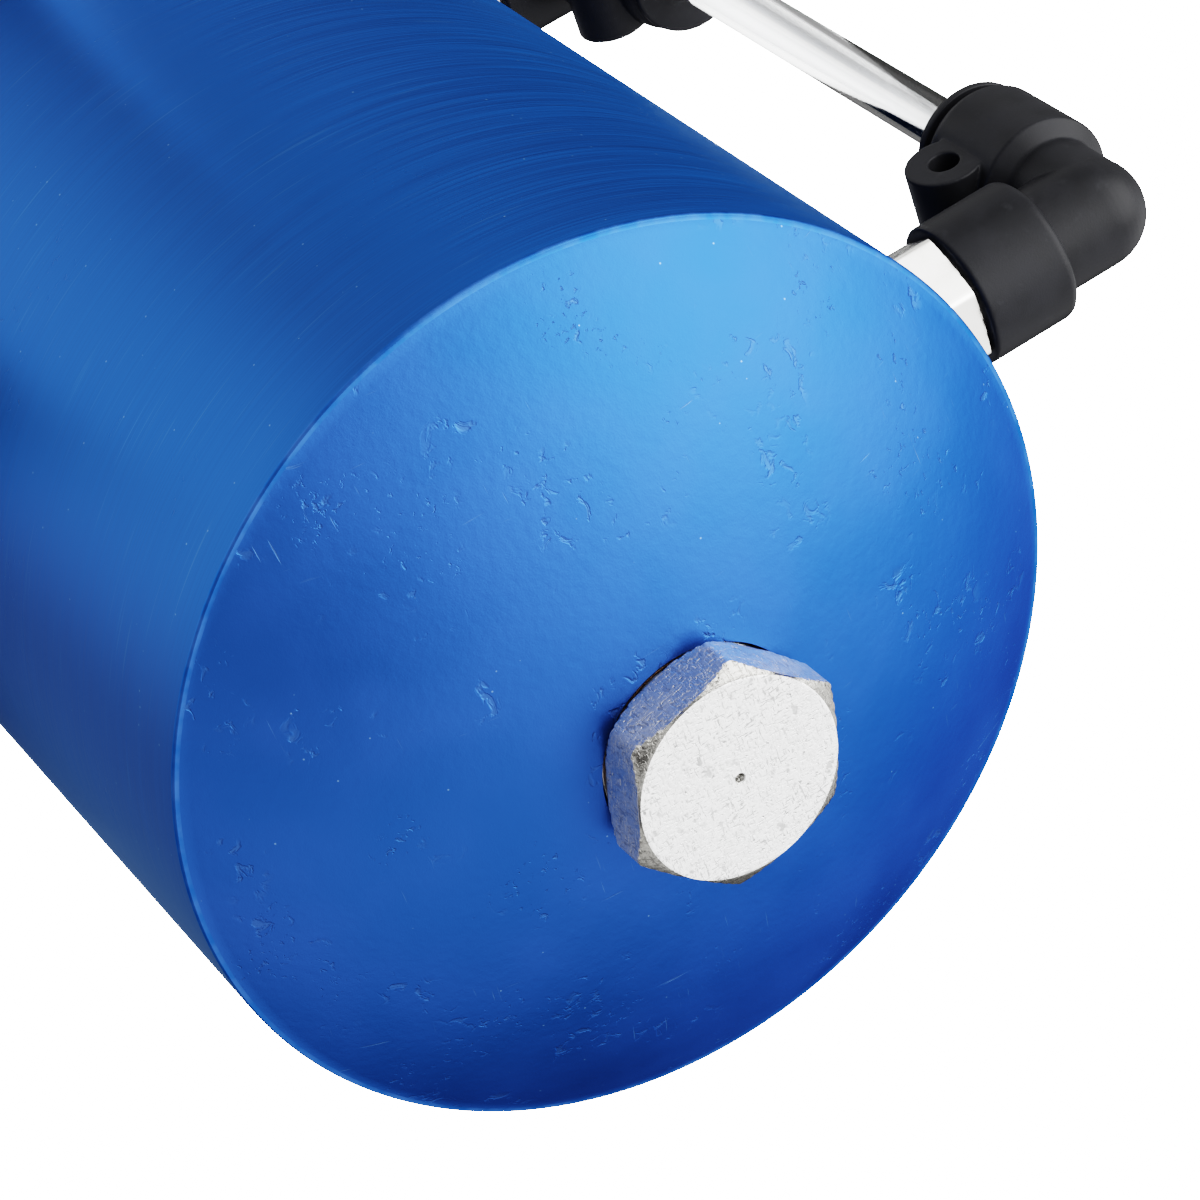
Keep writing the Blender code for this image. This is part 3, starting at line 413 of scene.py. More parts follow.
MATERIALS = {
    "wall": blue_wall(),
    "dome": blue_dome(),
    "crease": blue_crease(),
    "turned": blue_turned(),
    "bare_aluminium": bare_aluminium("bare_aluminium", (0.95, 0.95, 0.95), 0.38, (0.36, 0.52)),
    # The hex sides: a slightly darker, warmer copy of the aluminium, partly a drawn finish and partly painted
    # shade.
    "drawn_and_shaded_sides": bare_aluminium("bare_aluminium_sides", (0.88, 0.87, 0.81), 0.55, (0.28, 0.40)),
    # A dark copy of the aluminium: painted shade on the plug's chamfers and the dimple's hollow.
    "painted_shade_chamfer": bare_aluminium("bare_aluminium_chamfer_painted_shade", (0.28, 0.275, 0.26), 0.50, (0.10, 0.20)),
    "nickel_plate": nickel(),
    "black_plastic": black_plastic(),
    "clear_tube": clear_tube(),
    "black_rubber": rubber(),
    "copper": metal("copper", (0.62, 0.28, 0.16), (0.78, 0.40, 0.26), (0.25, 0.45)),
    "stainless": metal("stainless", (0.56, 0.56, 0.55), (0.68, 0.68, 0.66), (0.18, 0.34), 700.0, (1, 1, 6)),
    "steel_wool": steel_wool(),
    "black_anodised": black_anodised(),
    "filter_gauze": gauze(),
    "chrome": metal("chrome", (0.84, 0.85, 0.86), (0.90, 0.91, 0.92), (0.05, 0.12), 400.0, depth=0.000003),
    "black_powder_coat": powder_coat(),
    "welded_aluminium": metal("welded_aluminium", (0.58, 0.60, 0.62), (0.72, 0.73, 0.75), (0.30, 0.46)),
    "weld": metal("weld_bead", BLUE_DEEP, BLUE_PALE, (0.30, 0.46), 1500.0),
}


# Mesh building


def finished(bm, place=None, sharp=35):
    if place is not None:
        bm.transform(place)
    bmesh.ops.recalc_face_normals(bm, faces=bm.faces)
    mesh = bpy.data.meshes.new("mesh")
    bm.to_mesh(mesh)
    bm.free()
    shaded(mesh, sharp)
    return mesh


def revolved(rows, segments=160, closed=False, place=None, sharp=35):
    """A solid built ring by ring about Z. A row is (radius, height), or a function of the angle."""
    bm = bmesh.new()
    rings = []
    for row in rows:
        count = 1 if not callable(row) and row[0] <= 0 else segments
        ring = []
        for i in range(count):
            turn = math.tau * i / segments
            radius, height = row(turn) if callable(row) else row
            ring.append(bm.verts.new((radius * math.cos(turn), radius * math.sin(turn), height)))
        rings.append(ring)
    following = rings[1:] + rings[:1] if closed else rings[1:]
    for ring, other in zip(rings, following):
        for i in range(segments):
            j = i + 1
            corners = (ring[i % len(ring)], ring[j % len(ring)], other[j % len(other)], other[i % len(other)])
            corners = list(dict.fromkeys(corners))
            if len(corners) > 2:
                bm.faces.new(corners)
    return finished(bm, place, sharp)


NEARLY_STRAIGHT = math.radians(172)


def rounded(points, radius, steps=3):
    """A closed profile with every corner off the axis rounded."""
    result = []
    count = len(points)
    for i, point in enumerate(points):
        here = Vector(point[:2])
        size = point[2] if len(point) > 2 else radius
        before, after = Vector(points[i - 1][:2]) - here, Vector(points[(i + 1) % count][:2]) - here
        shorter = min(before.length, after.length)
        if min(here.x, size) <= 0 or shorter < 1e-7 or before.angle(after) > NEARLY_STRAIGHT:
            result.append(tuple(here))
            continue
        reach = min(size / math.tan(before.angle(after) / 2), 0.48 * shorter)
        start, end = here + before.normalized() * reach, here + after.normalized() * reach
        for k in range(steps + 1):
            t = k / steps
            spot = (1 - t) ** 2 * start + 2 * t * (1 - t) * here + t**2 * end
            result.append((spot.x, spot.y))
    return result


def hex_radius(across_flats, turn, edge=0.00035):
    """The distance from the axis to a hexagon's outline, with its corners eased."""
    sixth = math.pi / 3
    offset = (turn + sixth / 2) % sixth - sixth / 2
    flat = across_flats / 2
    corner = flat / math.cos(math.pi / 6)
    outline = flat / math.cos(sixth / 2 - abs(offset))
    return soft_minimum(outline, corner - edge * 0.35, edge)


def soft_minimum(first, second, width):
    """The smaller of two lengths, blended over a width."""
    share = max(0.0, min(1.0, 0.5 + (second - first) / (2 * width)))
    return second * (1 - share) + first * share - width * share * (1 - share) * 0.5


def hex_rows(across_flats, low, high, front_angle=30, back_angle=30, steps=7, edge=0.00018):
    """Rows of a hexagonal barrel whose two ends are turned to chamfers, given in degrees."""
    flat = across_flats / 2
    corner = flat / math.cos(math.pi / 6)
    front, back = math.tan(math.radians(front_angle)), math.tan(math.radians(back_angle))
    reach = 1.6 * (corner - flat + 0.0002)
    levels = [low + reach * front * k / steps for k in range(steps + 1)]
    levels += [high - reach * back * (1 - k / steps) for k in range(steps + 1)]

    def row(level):
        limit = flat - 0.0001 + min((level - low) / front, (high - level) / back)
        return lambda turn: (soft_minimum(hex_radius(across_flats, turn), limit, edge), level)

    return [row(level) for level in levels]


def thread_rows(major, depth, pitch, low, high, steps=8):
    """Rows of a right-hand V thread that fades out at both ends."""
    count = max(2, round((high - low) / pitch * steps))

    def row(level):
        def at(turn):
            phase = (level / pitch - turn / math.tau) % 1.0
            cut = depth * min(1.0, abs(2 * phase - 1) * 1.15)
            fade = min(1.0, (level - low) / pitch, (high - level) / pitch)
            return major - depth + (depth - cut) * max(0.0, fade), level

        return at

    return [row(low + (high - low) * k / count) for k in range(count + 1)]


def rod(radius, low, high, segments=96, place=None):
    """A plain round bar about Z."""
    return revolved([(0, low), (radius, low), (radius, high), (0, high)], segments, False, place)


def torus(ring_radius, section, height=0.0, segments=160, sides=16, place=None):
    turns = [math.tau * k / sides for k in range(sides)]
    rows = [(ring_radius + section * math.cos(a), height + section * math.sin(a)) for a in turns]
    return revolved(rows, segments, True, place, 180)


def sleeve(bore, radius, low, high, rounding=0.0002, segments=128, place=None):
    corners = [(bore, low), (radius, low), (radius, high), (bore, high)]
    return revolved(rounded(corners, rounding), segments, True, place)


def block(low, high):
    bm = bmesh.new()
    centre, size = (Vector(low) + Vector(high)) / 2, Vector(high) - Vector(low)
    bmesh.ops.create_cube(bm, size=1, matrix=Matrix.Translation(centre) @ Matrix.Diagonal((*size, 1)))
    return finished(bm)


def joined(meshes):
    bm = bmesh.new()
    for mesh in meshes:
        bm.from_mesh(mesh)
    return finished(bm)


def evaluated(mesh, *modifiers):
    """The mesh after modifiers, each given as (type, {setting: value})."""
    body = placed("body", mesh)
    for kind, settings in modifiers:
        modifier = body.modifiers.new(kind, kind)
        for key, value in settings.items():
            setattr(modifier, key, value)
    graph = bpy.context.evaluated_depsgraph_get()
    bm = bmesh.new()
    bm.from_mesh(body.evaluated_get(graph).to_mesh())
    bpy.data.objects.remove(body, do_unlink=True)
    return bm


def combined(mesh, operation, tool, place=None, sharp=35):
    cutter = placed("cutter", tool, place)
    bm = evaluated(mesh, ("BOOLEAN", {"operation": operation, "object": cutter}))
    bpy.data.objects.remove(cutter, do_unlink=True)
    return finished(bm, None, sharp)


def softened(mesh, voxel, smoothing=6):
    """A moulding: the shape remeshed finely, with its corners and inner edges eased."""
    bm = evaluated(
        mesh,
        ("REMESH", {"mode": "VOXEL", "voxel_size": voxel}),
        ("SMOOTH", {"factor": 0.5, "iterations": smoothing}),
    )
    return finished(bm, None, 180)


# Placing pieces


def piece(name, mesh, body, slot, node=None, place=None, look=None):
    """A visible piece made in the can's frame, riding on a body and standing for a CAD node.

    The look names its material, or several for a mesh whose faces choose. Without one the slot does.
    """
    made = placed(name, mesh, Matrix.Translation(CAN_FRAME) @ (place or Matrix.Identity(4)))
    for finish in look if isinstance(look, tuple) else (look or slot,):
        mesh.materials.append(MATERIALS[finish])
    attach(made, body)
    if node:
        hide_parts(node)


def sphere_point(radius, distance):
    """The height of a sphere about the dome's centre, at a distance from the axis."""
    return DOME_SPHERE - DOME_HEIGHT - math.sqrt(radius**2 - distance**2)


# Can

DRAIN_HOLE = 0.0109
SIGHT_HOLE = 0.0051
PORT_HOLE = 0.0132
CREASE_EASE = 0.0006
RIM_BEVEL = 0.0005


def can():
    """The shell: brushed wall, satin dome, and a crease eased by a small radius."""
    ease, outer_start = CREASE_EASE, DRAIN_HOLE + 0.0003
    dome = [
        (r, sphere_point(DOME_SPHERE, r))
        for r in (outer_start + (CAN_RADIUS - ease - outer_start) * k / 40 for k in range(41))
    ]
    slope = math.asin((CAN_RADIUS - ease) / DOME_SPHERE)
    crease = []
    for k in range(1, 7):
        turn = slope + (math.pi / 2 - slope) * k / 6
        lift = ease * (math.cos(slope) - math.cos(turn))
        crease.append((CAN_RADIUS - ease + ease * math.sin(turn), dome[-1][1] + lift))
    wall = [(CAN_RADIUS, level) for level in (0.004, 0.04, 0.08, 0.12, CAN_HEIGHT - RIM_BEVEL)]
    top = [(CAN_RADIUS - RIM_BEVEL, CAN_HEIGHT), (BORE, CAN_HEIGHT)]
    inner = [
        (r, sphere_point(DOME_SPHERE - WALL, r))
        for r in (BORE - (BORE - DRAIN_HOLE) * k / 16 for k in range(17))
    ]
    shell = revolved([*dome, *crease, *wall, *top, *inner], 256, True)
    holes = []
    for node in ("lower_elbow_stem", "upper_elbow_stem"):
        holes.append(rod(SIGHT_HOLE, 0.03, 0.06, 48, beside(node) @ ALONG_MINUS_Y))
    holes.append(rod(PORT_HOLE, -0.06, 0.06, 96, beside("inlet_bung") @ ALONG_X))
    mesh = combined(shell, "DIFFERENCE", joined(holes), None, 30)
    piece("can", mesh, "can", "anodised_blue", "can_shell", look=("wall", "dome", "crease"))
    # Faces on the crease take the paler crease blue: partly wear, partly painted highlight.
    dome_edge, rim = dome[-1][1], crease[-1][1]
    for polygon in mesh.polygons:
        low = polygon.center.z
        on_crease = low > dome_edge and polygon.center.xy.length > BORE
        polygon.material_index = 0 if low > rim else 2 if on_crease else 1


# Drain

DRAIN_HEX = 0.022
DRAIN_HEX_TURN = math.radians(15)
DRAIN_HEAD = 0.00677
DRAIN_THREAD = 0.0080
DRAIN_BORE = 0.0083
DIMPLE = ((0, 0.0006), (0.0002, 0.00056), (0.00052, 0.00012), (0.0006, 0))


def drain_plug():
    """The M16 plug: hex head with a dimple, chamfered in front and behind, and its thread."""
    low, high = in_can("drain_plug")
    face, tip = low.z, high.z
    back, land = face + DRAIN_HEAD, DRAIN_HEX / 2 - 0.0004
    rows = [(r, face + depth) for r, depth in DIMPLE]
    rows += [(r, face) for r in (0.003, 0.006, 0.009, land)]
    rows += [*hex_rows(DRAIN_HEX, face, back, back_angle=42), (land, back)]
    rows += [(DRAIN_THREAD + 0.0006, back), (DRAIN_THREAD - 0.0010, back + 0.0004)]
    rows += thread_rows(DRAIN_THREAD - 0.0001, 0.0009, 0.0015, back + 0.0010, tip - 0.0008)
    rows += [(DRAIN_THREAD - 0.0016, tip), (0, tip)]
    mesh = revolved(rows, 240, False, Matrix.Rotation(DRAIN_HEX_TURN, 4, "Z"))
    looks = ("bare_aluminium", "drawn_and_shaded_sides", "painted_shade_chamfer")
    piece("hex_drain_plug", mesh, "drain_plug", "bare_aluminium", "drain_plug", look=looks)
    # The dimple's centre and the chamfer facets take the dark copy: painted shade.
    for polygon in mesh.polygons:
        across, upright = polygon.center.xy.length, abs(polygon.normal.z)
        if across < 0.0005:
            polygon.material_index = looks.index("painted_shade_chamfer")
        # Hex sides take the darker, warmer copy: partly drawn finish, partly painted shade.
        elif DRAIN_HEX / 2 - 0.0003 < across and upright < 0.97:
            polygon.material_index = looks.index("drawn_and_shaded_sides" if upright < 0.35 else "painted_shade_chamfer")


def drain_washer():
    low, high = in_can("drain_washer")
    mesh = sleeve(DRAIN_BORE, (high.x - low.x) / 2, low.z, high.z, 0.00025)
    piece("copper_washer", mesh, "drain_washer", "copper", "drain_washer")


def drain_bung():
    low, high = in_can("drain_bung")
    neck, flange = DRAIN_HOLE - GAP, (high.x - low.x) / 2
    shoulder = [(r, sphere_point(DOME_SPHERE - WALL - GAP, r)) for r in (neck, flange)]
    profile = [(DRAIN_BORE, low.z), (neck, low.z), *shoulder, (flange, high.z), (DRAIN_BORE, high.z)]
    mesh = revolved(rounded(profile, 0.0002), 128, True)
    piece("drain_boss", mesh, "can", "welded_aluminium", "drain_bung")


# Sight gauge. An elbow is made with its knee at the origin, the stem along -X and the tube along Z.

KNEE = 0.00625
SOCKET = 0.00836
SOCKET_MOUTH, SOCKET_END, SOCKET_FLOOR = -0.0185, -0.0074, -0.0082
LEG = 0.0081
LEG_START, LEG_SHOULDER, LEG_MOUTH = 0.0070, 0.0084, 0.0206
EAR = (-0.0081, 0.0141)
EAR_RADIUS, EAR_HALF, EAR_HOLE, WEB_HALF = 0.0045, 0.0059, 0.00175, 0.0016
JOURNAL, JOURNAL_BORE = 0.0059, 0.0062
WATERWAY = 0.0025
TUBE_BORE, TUBE_SEAT, SEAL_BORE, SEAL_SEAT = 0.0033, 0.0067, 0.0056, 0.0100
STEM_HEX, STEM_THREAD = 0.014, 0.0048
STEM_HEX_TURN = math.radians(30)


def elbow_moulding():
    """The push-in elbow: a socket along X, a leg along Z and an ear with a small hole between them."""
    quarter = [math.pi / 2 * k / 12 for k in range(1, 12)]
    dome = [(KNEE * math.cos(a), KNEE * math.sin(a)) for a in quarter]
    socket = [(0, SOCKET_MOUTH), (SOCKET - 0.0002, SOCKET_MOUTH), (SOCKET, SOCKET_MOUTH + 0.0003)]
    socket += [(SOCKET, SOCKET_END - 0.0009), (SOCKET - 0.0002, SOCKET_END - 0.0004)]
    socket += [(SOCKET - 0.0007, SOCKET_END), (KNEE, SOCKET_END), (KNEE, 0), *dome, (0, KNEE)]
    neck = KNEE - 0.00005
    leg = [(0, 0), (neck, 0), (neck, LEG_START), (LEG, LEG_SHOULDER), (LEG, LEG_MOUTH - 0.0012)]
    leg += [(LEG - 0.0003, LEG_MOUTH - 0.0005), (LEG - 0.0010, LEG_MOUTH), (0, LEG_MOUTH)]
    ear_place = Matrix.Translation((EAR[0], 0, EAR[1])) @ ALONG_Y
    web = block((EAR[0] - 0.0040, -WEB_HALF, KNEE), (-0.003, WEB_HALF, EAR[1]))
    body = revolved(socket, 96, False, ALONG_X)
    for added in (revolved(leg, 96), web, rod(EAR_RADIUS, -EAR_HALF, EAR_HALF, 72, ear_place)):
        body = combined(body, "UNION", added)
    start = SOCKET_MOUTH - 0.0010
    stem_bore = [(0, start), (JOURNAL_BORE, start), (JOURNAL_BORE, SOCKET_FLOOR)]
    stem_bore += [(WATERWAY, SOCKET_FLOOR), (WATERWAY, 0.001), (0, 0.001)]
    passage = [(0, 0), (0.0021, 0), (0.0021, TUBE_SEAT), (TUBE_BORE, TUBE_SEAT), (TUBE_BORE, SEAL_SEAT)]
    passage += [(SEAL_BORE, SEAL_SEAT), (SEAL_BORE, LEG_MOUTH + 0.0010), (0, LEG_MOUTH + 0.0010)]
    ear_hole = rod(EAR_HOLE, -0.008, 0.008, 48, ear_place)
    for cut in (revolved(stem_bore, 72, False, ALONG_X), revolved(passage, 72), ear_hole):
        body = combined(body, "DIFFERENCE", cut)
    return softened(body, 0.00017, 4)


def stem():
    """Nickel-plated stem along X, with its hex, thread and grooved journal."""
    thread_end, hex_start, hex_end = -0.0405, -0.0271, -0.0188
    groove_start, groove_end, groove = -0.0133, -0.0115, 0.0044
    tip = SOCKET_FLOOR - GAP
    rows = [(WATERWAY, thread_end), (STEM_THREAD - 0.0008, thread_end)]
    rows += thread_rows(STEM_THREAD, 0.0006, 0.0009, thread_end + 0.0004, hex_start - 0.0006)
    rows += [(STEM_THREAD - 0.0004, hex_start - 0.0003), (STEM_THREAD - 0.0004, hex_start)]
    land = STEM_HEX / 2 - 0.0004
    rows += [(land, hex_start), *hex_rows(STEM_HEX, hex_start, hex_end, back_angle=8), (land, hex_end)]
    rows += [(JOURNAL, hex_end), (JOURNAL, groove_start), (groove, groove_start)]
    rows += [(groove, groove_end), (JOURNAL, groove_end)]
    rows += [(JOURNAL, tip - 0.0004), (JOURNAL - 0.0004, tip), (WATERWAY, tip)]
    return revolved(rows, 192, True, ALONG_X @ Matrix.Rotation(STEM_HEX_TURN, 4, "Z"))


def release_ring():
    """The ring that frees the tube when pressed: a skirt in the leg and a flange outside it."""
    skirt, flange = 0.0052, 0.0075
    start, under, outer = 0.0178, 0.0215, 0.0226
    profile = [(TUBE_BORE, start), (skirt, start), (skirt, under), (flange, under, 0.0002)]
    profile += [(flange, outer, 0.0004), (TUBE_BORE, outer, 0.0004)]
    return revolved(rounded(profile, 0.0001), 128, True)


def sight_gauge():
    moulding, stem_mesh, ring = elbow_moulding(), stem(), release_ring()
    tube_low, tube_high = in_can("sight_tube")
    tube_axis = Matrix.Translation((0, (tube_low.y + tube_high.y) / 2, 0))
    for end, flip in (("lower", 0), ("upper", math.pi)):
        turn = Matrix.Rotation(-math.pi / 2, 4, "Z") @ Matrix.Rotation(flip, 4, "X")
        place = beside(f"{end}_elbow_stem") @ tube_axis @ turn
        piece(f"{end}_elbow", moulding.copy(), "can", "black_plastic", f"{end}_elbow_body", place)
        piece(f"{end}_stem", stem_mesh.copy(), "can", "nickel_plate", f"{end}_elbow_stem", place)
        node = f"{end}_release_ring"
        piece(f"{end}_push_ring", ring.copy(), node, "black_plastic", node, place)
    radius = (tube_high.x - tube_low.x) / 2
    tube = sleeve(radius - 0.0009, radius, tube_low.z, tube_high.z, 0.0001, 96)
    piece("clear_sight_tube", tube, "can", "clear_tube", "sight_tube", tube_axis)


# Lid

LID_GRIPS = 110
LID_GRIP_LEAN = 260
LID_GRIP_DEPTH = 0.00035
LID_SPIGOT, LID_RECESS, LID_HOLE, LID_CEILING = 0.0397, 0.034, 0.0098, 0.162
LID_SEAL_GROOVE = (0.0414, 0.0446, 0.0028)
LID_RINGS = (0.040, 0.022)


def lid():
    """The screw-on lid, its rim cut with a fine diamond grip, and its O-ring."""
    low, high = in_can("lid")
    bottom, top = CAN_HEIGHT + 0.0004, high.z
    spigot, recess, hole = LID_SPIGOT, LID_RECESS, LID_HOLE
    chamfer, groove, cut = 0.0012, 0.0009, 0.0004
    band = [bottom + 0.0012 + (top - bottom - 0.0030) * k / 16 for k in range(17)]

    def grip(level):
        ends = level in (band[0], band[-1])
        fade = 0 if ends else math.sin(math.pi * (level - band[0]) / (band[-1] - band[0])) ** 0.25
        lean = (level - band[0]) * LID_GRIP_LEAN

        def at(turn):
            cross = math.sin(turn * LID_GRIPS + lean) * math.sin(turn * LID_GRIPS - lean)
            return CAN_RADIUS - LID_GRIP_DEPTH * fade * (1 - abs(cross)) - 0.00005, level

        return at

    inner, outer, depth = LID_SEAL_GROOVE
    rows = [(hole, top - cut), (hole, LID_CEILING), (recess, LID_CEILING), (recess, low.z)]
    rows += [(spigot - 0.001, low.z), (spigot, low.z + 0.001)]
    rows += thread_rows(spigot, 0.0008, 0.002, low.z + 0.0015, bottom - 0.0008)
    rows += [(spigot - 0.0008, bottom), (inner, bottom), (inner, bottom + depth), (outer, bottom + depth)]
    rows += [(outer, bottom), (CAN_RADIUS - 0.0006, bottom), (CAN_RADIUS, bottom + 0.0006)]
    rows += [grip(level) for level in band]
    rows += [(CAN_RADIUS, top - chamfer), (CAN_RADIUS - chamfer, top)]
    for ring in LID_RINGS:
        rows += [(ring + groove, top), (ring + groove * 0.6, top - cut)]
        rows += [(ring - groove * 0.6, top - cut), (ring - groove, top)]
    rows += [(hole + cut, top)]
    mesh = revolved(rows, 660, True, None, 40)
    piece("screw_lid", mesh, "lid", "anodised_blue", "lid", look="turned")
    low, high = in_can("lid_seal")
    mesh = torus((inner + outer) / 2, (high.z - low.z) / 2, (low.z + high.z) / 2, 200)
    piece("lid_o_ring", mesh, "lid_seal", "black_rubber", "lid_seal")


# Hose ports

PORT_BORE, PORT_THREAD = 0.0083, 0.0080
BOSS_RADIUS, BOSS_FOOT, BOSS_FACE = 0.0130, 0.0430, 0.0540
WASHER_RADIUS, WASHER_END = 0.0114, 0.0555
BARB_HEX, BARB_HEX_LENGTH, BARB_LENGTH = 0.024, 0.0072, 0.028
BARB_ROOT, BARB_RIDGE, BARB_BORE, BARB_PITCH, BARB_COUNT = 0.0078, 0.0088, 0.0055, 0.0055, 4


def barb():
    """A hose barb along X: its thread, hex and four saw-tooth ridges."""
    thread_end, hex_start = 0.044, WASHER_END + GAP
    hex_end = hex_start + BARB_HEX_LENGTH
    tip = hex_end + BARB_LENGTH
    root, ridge, bore, land = BARB_ROOT, BARB_RIDGE, BARB_BORE, WASHER_RADIUS
    rows = [(bore, thread_end), (PORT_THREAD - 0.0010, thread_end)]
    rows += thread_rows(PORT_THREAD, 0.0008, 0.0015, thread_end + 0.0004, hex_start - 0.0005)
    rows += [(PORT_THREAD - 0.0006, hex_start), (land, hex_start)]
    rows += [*hex_rows(BARB_HEX, hex_start, hex_end), (land, hex_end)]
    rows += [(root + 0.0004, hex_end), (root, hex_end + 0.0004), (root, tip - BARB_COUNT * BARB_PITCH)]
    for k in range(BARB_COUNT):
        start = tip - (BARB_COUNT - k) * BARB_PITCH
        rows += [(ridge - 0.00025, start), (ridge, start + 0.0002), (ridge, start + 0.0007)]
        rows += [(root - 0.0006, start + BARB_PITCH)]
    rows += [(bore + 0.0004, tip), (bore, tip - 0.0004)]
    return revolved(rows, 192, True, ALONG_X)


def weld_bead(radius, section, beads, place):
    """A ring of overlapping ripples laid where a round boss meets the can's wall."""
    sides = 10
    bm = bmesh.new()
    rings = []
    count = beads * 6
    for i in range(count):
        turn = math.tau * i / count
        ripple = 0.82 + 0.18 * abs(math.sin(turn * beads / 2))
        across, up = math.cos(turn), math.sin(turn)
        foot = math.sqrt(CAN_RADIUS**2 - (radius * across) ** 2)
        ring = []
        for k in range(sides):
            a = math.tau * k / sides
            out = radius + section * ripple * math.cos(a)
            ring.append(bm.verts.new((out * up, out * across, foot + section * ripple * math.sin(a) * 0.8)))
        rings.append(ring)
    for ring, other in zip(rings, rings[1:] + rings[:1]):
        for k in range(sides):
            j = (k + 1) % sides
            bm.faces.new((ring[k], ring[j], other[j], other[k]))
    return finished(bm, place, 180)


def hose_ports():
    barb_mesh = barb()
    for name, turn in (("outlet", 0.0), ("inlet", math.pi)):
        place = beside(f"{name}_bung") @ Matrix.Rotation(turn, 4, "Z")
        bung = sleeve(PORT_BORE, BOSS_RADIUS, BOSS_FOOT, BOSS_FACE, 0.0006, 160, ALONG_X)
        piece(f"{name}_port_boss", bung, "can", "anodised_blue", f"{name}_bung", place, "turned")
        washer = sleeve(PORT_BORE, WASHER_RADIUS, BOSS_FACE + GAP, WASHER_END, 0.0003, 128, ALONG_X)
        piece(f"{name}_seal", washer, "can", "black_rubber", f"{name}_washer", place)
        piece(f"{name}_hose_barb", barb_mesh.copy(), "can", "bare_aluminium", f"{name}_barb", place)
        bead = weld_bead(BOSS_RADIUS + 0.0004, 0.0013, 34, ALONG_X)
        piece(f"{name}_weld", bead, "can", "anodised_blue", None, place, "weld")


# Breather

NECK_BORE, NECK, NECK_FLANGE, NECK_FLANGE_DEPTH = 0.0072, 0.0095, 0.0135, 0.0035
COLLAR_BORE, COLLAR = 0.0098, 0.0125
CUP_UNDER, CUP_FLOOR, CUP_WALL = 0.187, 0.1922, 0.0016
FILTER_HEAD, PLEATS, PLEAT_DEPTH = 0.0175, 44, 0.0036
SCREEN_WIRE, SCREEN_HOOPS, SCREEN_BARS = 0.00022, 19, 66
CAP_DISH = 0.0145


def breather_tube():
    low, high = in_can("breather_neck")
    flange = in_can("lid")[1].z + GAP
    shoulder = flange + NECK_FLANGE_DEPTH
    profile = [(NECK_BORE, low.z), (NECK, low.z), (NECK, flange), (NECK_FLANGE, flange)]
    profile += [(NECK_FLANGE, shoulder), (NECK, shoulder), (NECK, high.z), (NECK_BORE, high.z)]
    tube = revolved(rounded(profile, 0.0004), 128, True)
    piece("breather_tube", tube, "lid", "black_anodised", "breather_neck")


def rubber_boot():
    """The filter's moulded foot: a collar for the clamp and a cup that holds the filter."""
    low, high = in_can("filter_boot")
    outer = (high.x - low.x) / 2
    inner = outer - CUP_WALL + GAP
    profile = [(COLLAR_BORE, low.z), (COLLAR, low.z, 0.0008), (COLLAR, CUP_UNDER - 0.001, 0.0012)]
    profile += [(outer - 0.003, CUP_UNDER, 0.0015), (outer, CUP_UNDER + 0.002, 0.0015)]
    profile += [(outer, high.z, 0.0006), (inner, high.z, 0.0002)]
    profile += [(inner, CUP_FLOOR), (COLLAR_BORE, CUP_FLOOR)]
    boot = revolved(rounded(profile, 0.0003, 5), 160, True)
    piece("rubber_boot", boot, "lid", "black_rubber", "filter_boot")


def filter_cone():
    """The pleated gauze cone and the wire screen around it."""
    low, high = in_can("filter_element")
    foot = (high.x - low.x) / 2
    lip = in_can("filter_boot")[1].z

    def outline(level):
        return foot + (FILTER_HEAD - foot) * max(0.0, (level - lip) / (high.z - lip))

    def pleat(level, inset):
        def at(turn):
            wave = abs(((turn * PLEATS / math.tau) % 1.0) * 2 - 1)
            return outline(level) - inset - PLEAT_DEPTH * wave, level

        return at

    levels = [low.z + (high.z - low.z) * k / 12 for k in range(13)]
    rows = [pleat(level, 0.0009) for level in levels]
    rows += [pleat(level, 0.0022) for level in reversed(levels)]
    gauze_cone = revolved(rows, PLEATS * 6, True, None, 60)
    piece("pleated_gauze", gauze_cone, "lid", "filter_gauze", "filter_element")

    wires = []
    wire = SCREEN_WIRE
    start, end = lip - 0.002, high.z - wire
    for k in range(SCREEN_HOOPS):
        level = start + (high.z - start - wire) * k / (SCREEN_HOOPS - 1)
        wires.append(torus(outline(level) - wire * 1.1, wire, level, 120, 6))
    for k in range(SCREEN_BARS):
        turn = math.tau * k / SCREEN_BARS
        way = Vector((math.cos(turn), math.sin(turn), 0))
        bottom, top = ((outline(level) - wire) * way + Vector((0, 0, level)) for level in (start, end))
        place = Matrix.Translation(bottom) @ (top - bottom).to_track_quat("Z", "Y").to_matrix().to_4x4()
        wires.append(rod(wire, 0, (top - bottom).length, 6, place))
    piece("wire_screen", joined(wires), "lid", "stainless")


def filter_cap():
    """The pressed cap, with a shallow dish in its top."""
    low, high = in_can("filter_cap")
    cap, top, bend = (high.x - low.x) / 2, high.z, 0.002
    corner = top - 0.0026
    rows = [(0, low.z), (cap - 0.0004, low.z), (cap, low.z + 0.0004), (cap, corner)]
    rows += [
        (cap - bend + bend * math.cos(a), corner + bend * math.sin(a)) for a in (0.4, 0.8, 1.2, math.pi / 2)
    ]
    rows += [(CAP_DISH + 0.0010, top - 0.0006), (CAP_DISH + 0.0005, top - 0.0010), (CAP_DISH, top - 0.0006)]
    rows += [(r, top - 0.0006 + 0.0006 * (1 - (r / CAP_DISH) ** 2)) for r in (0.012, 0.009, 0.006, 0.003)]
    rows += [(0, top)]
    piece("chrome_cap", revolved(rows, 160), "lid", "chrome", "filter_cap")


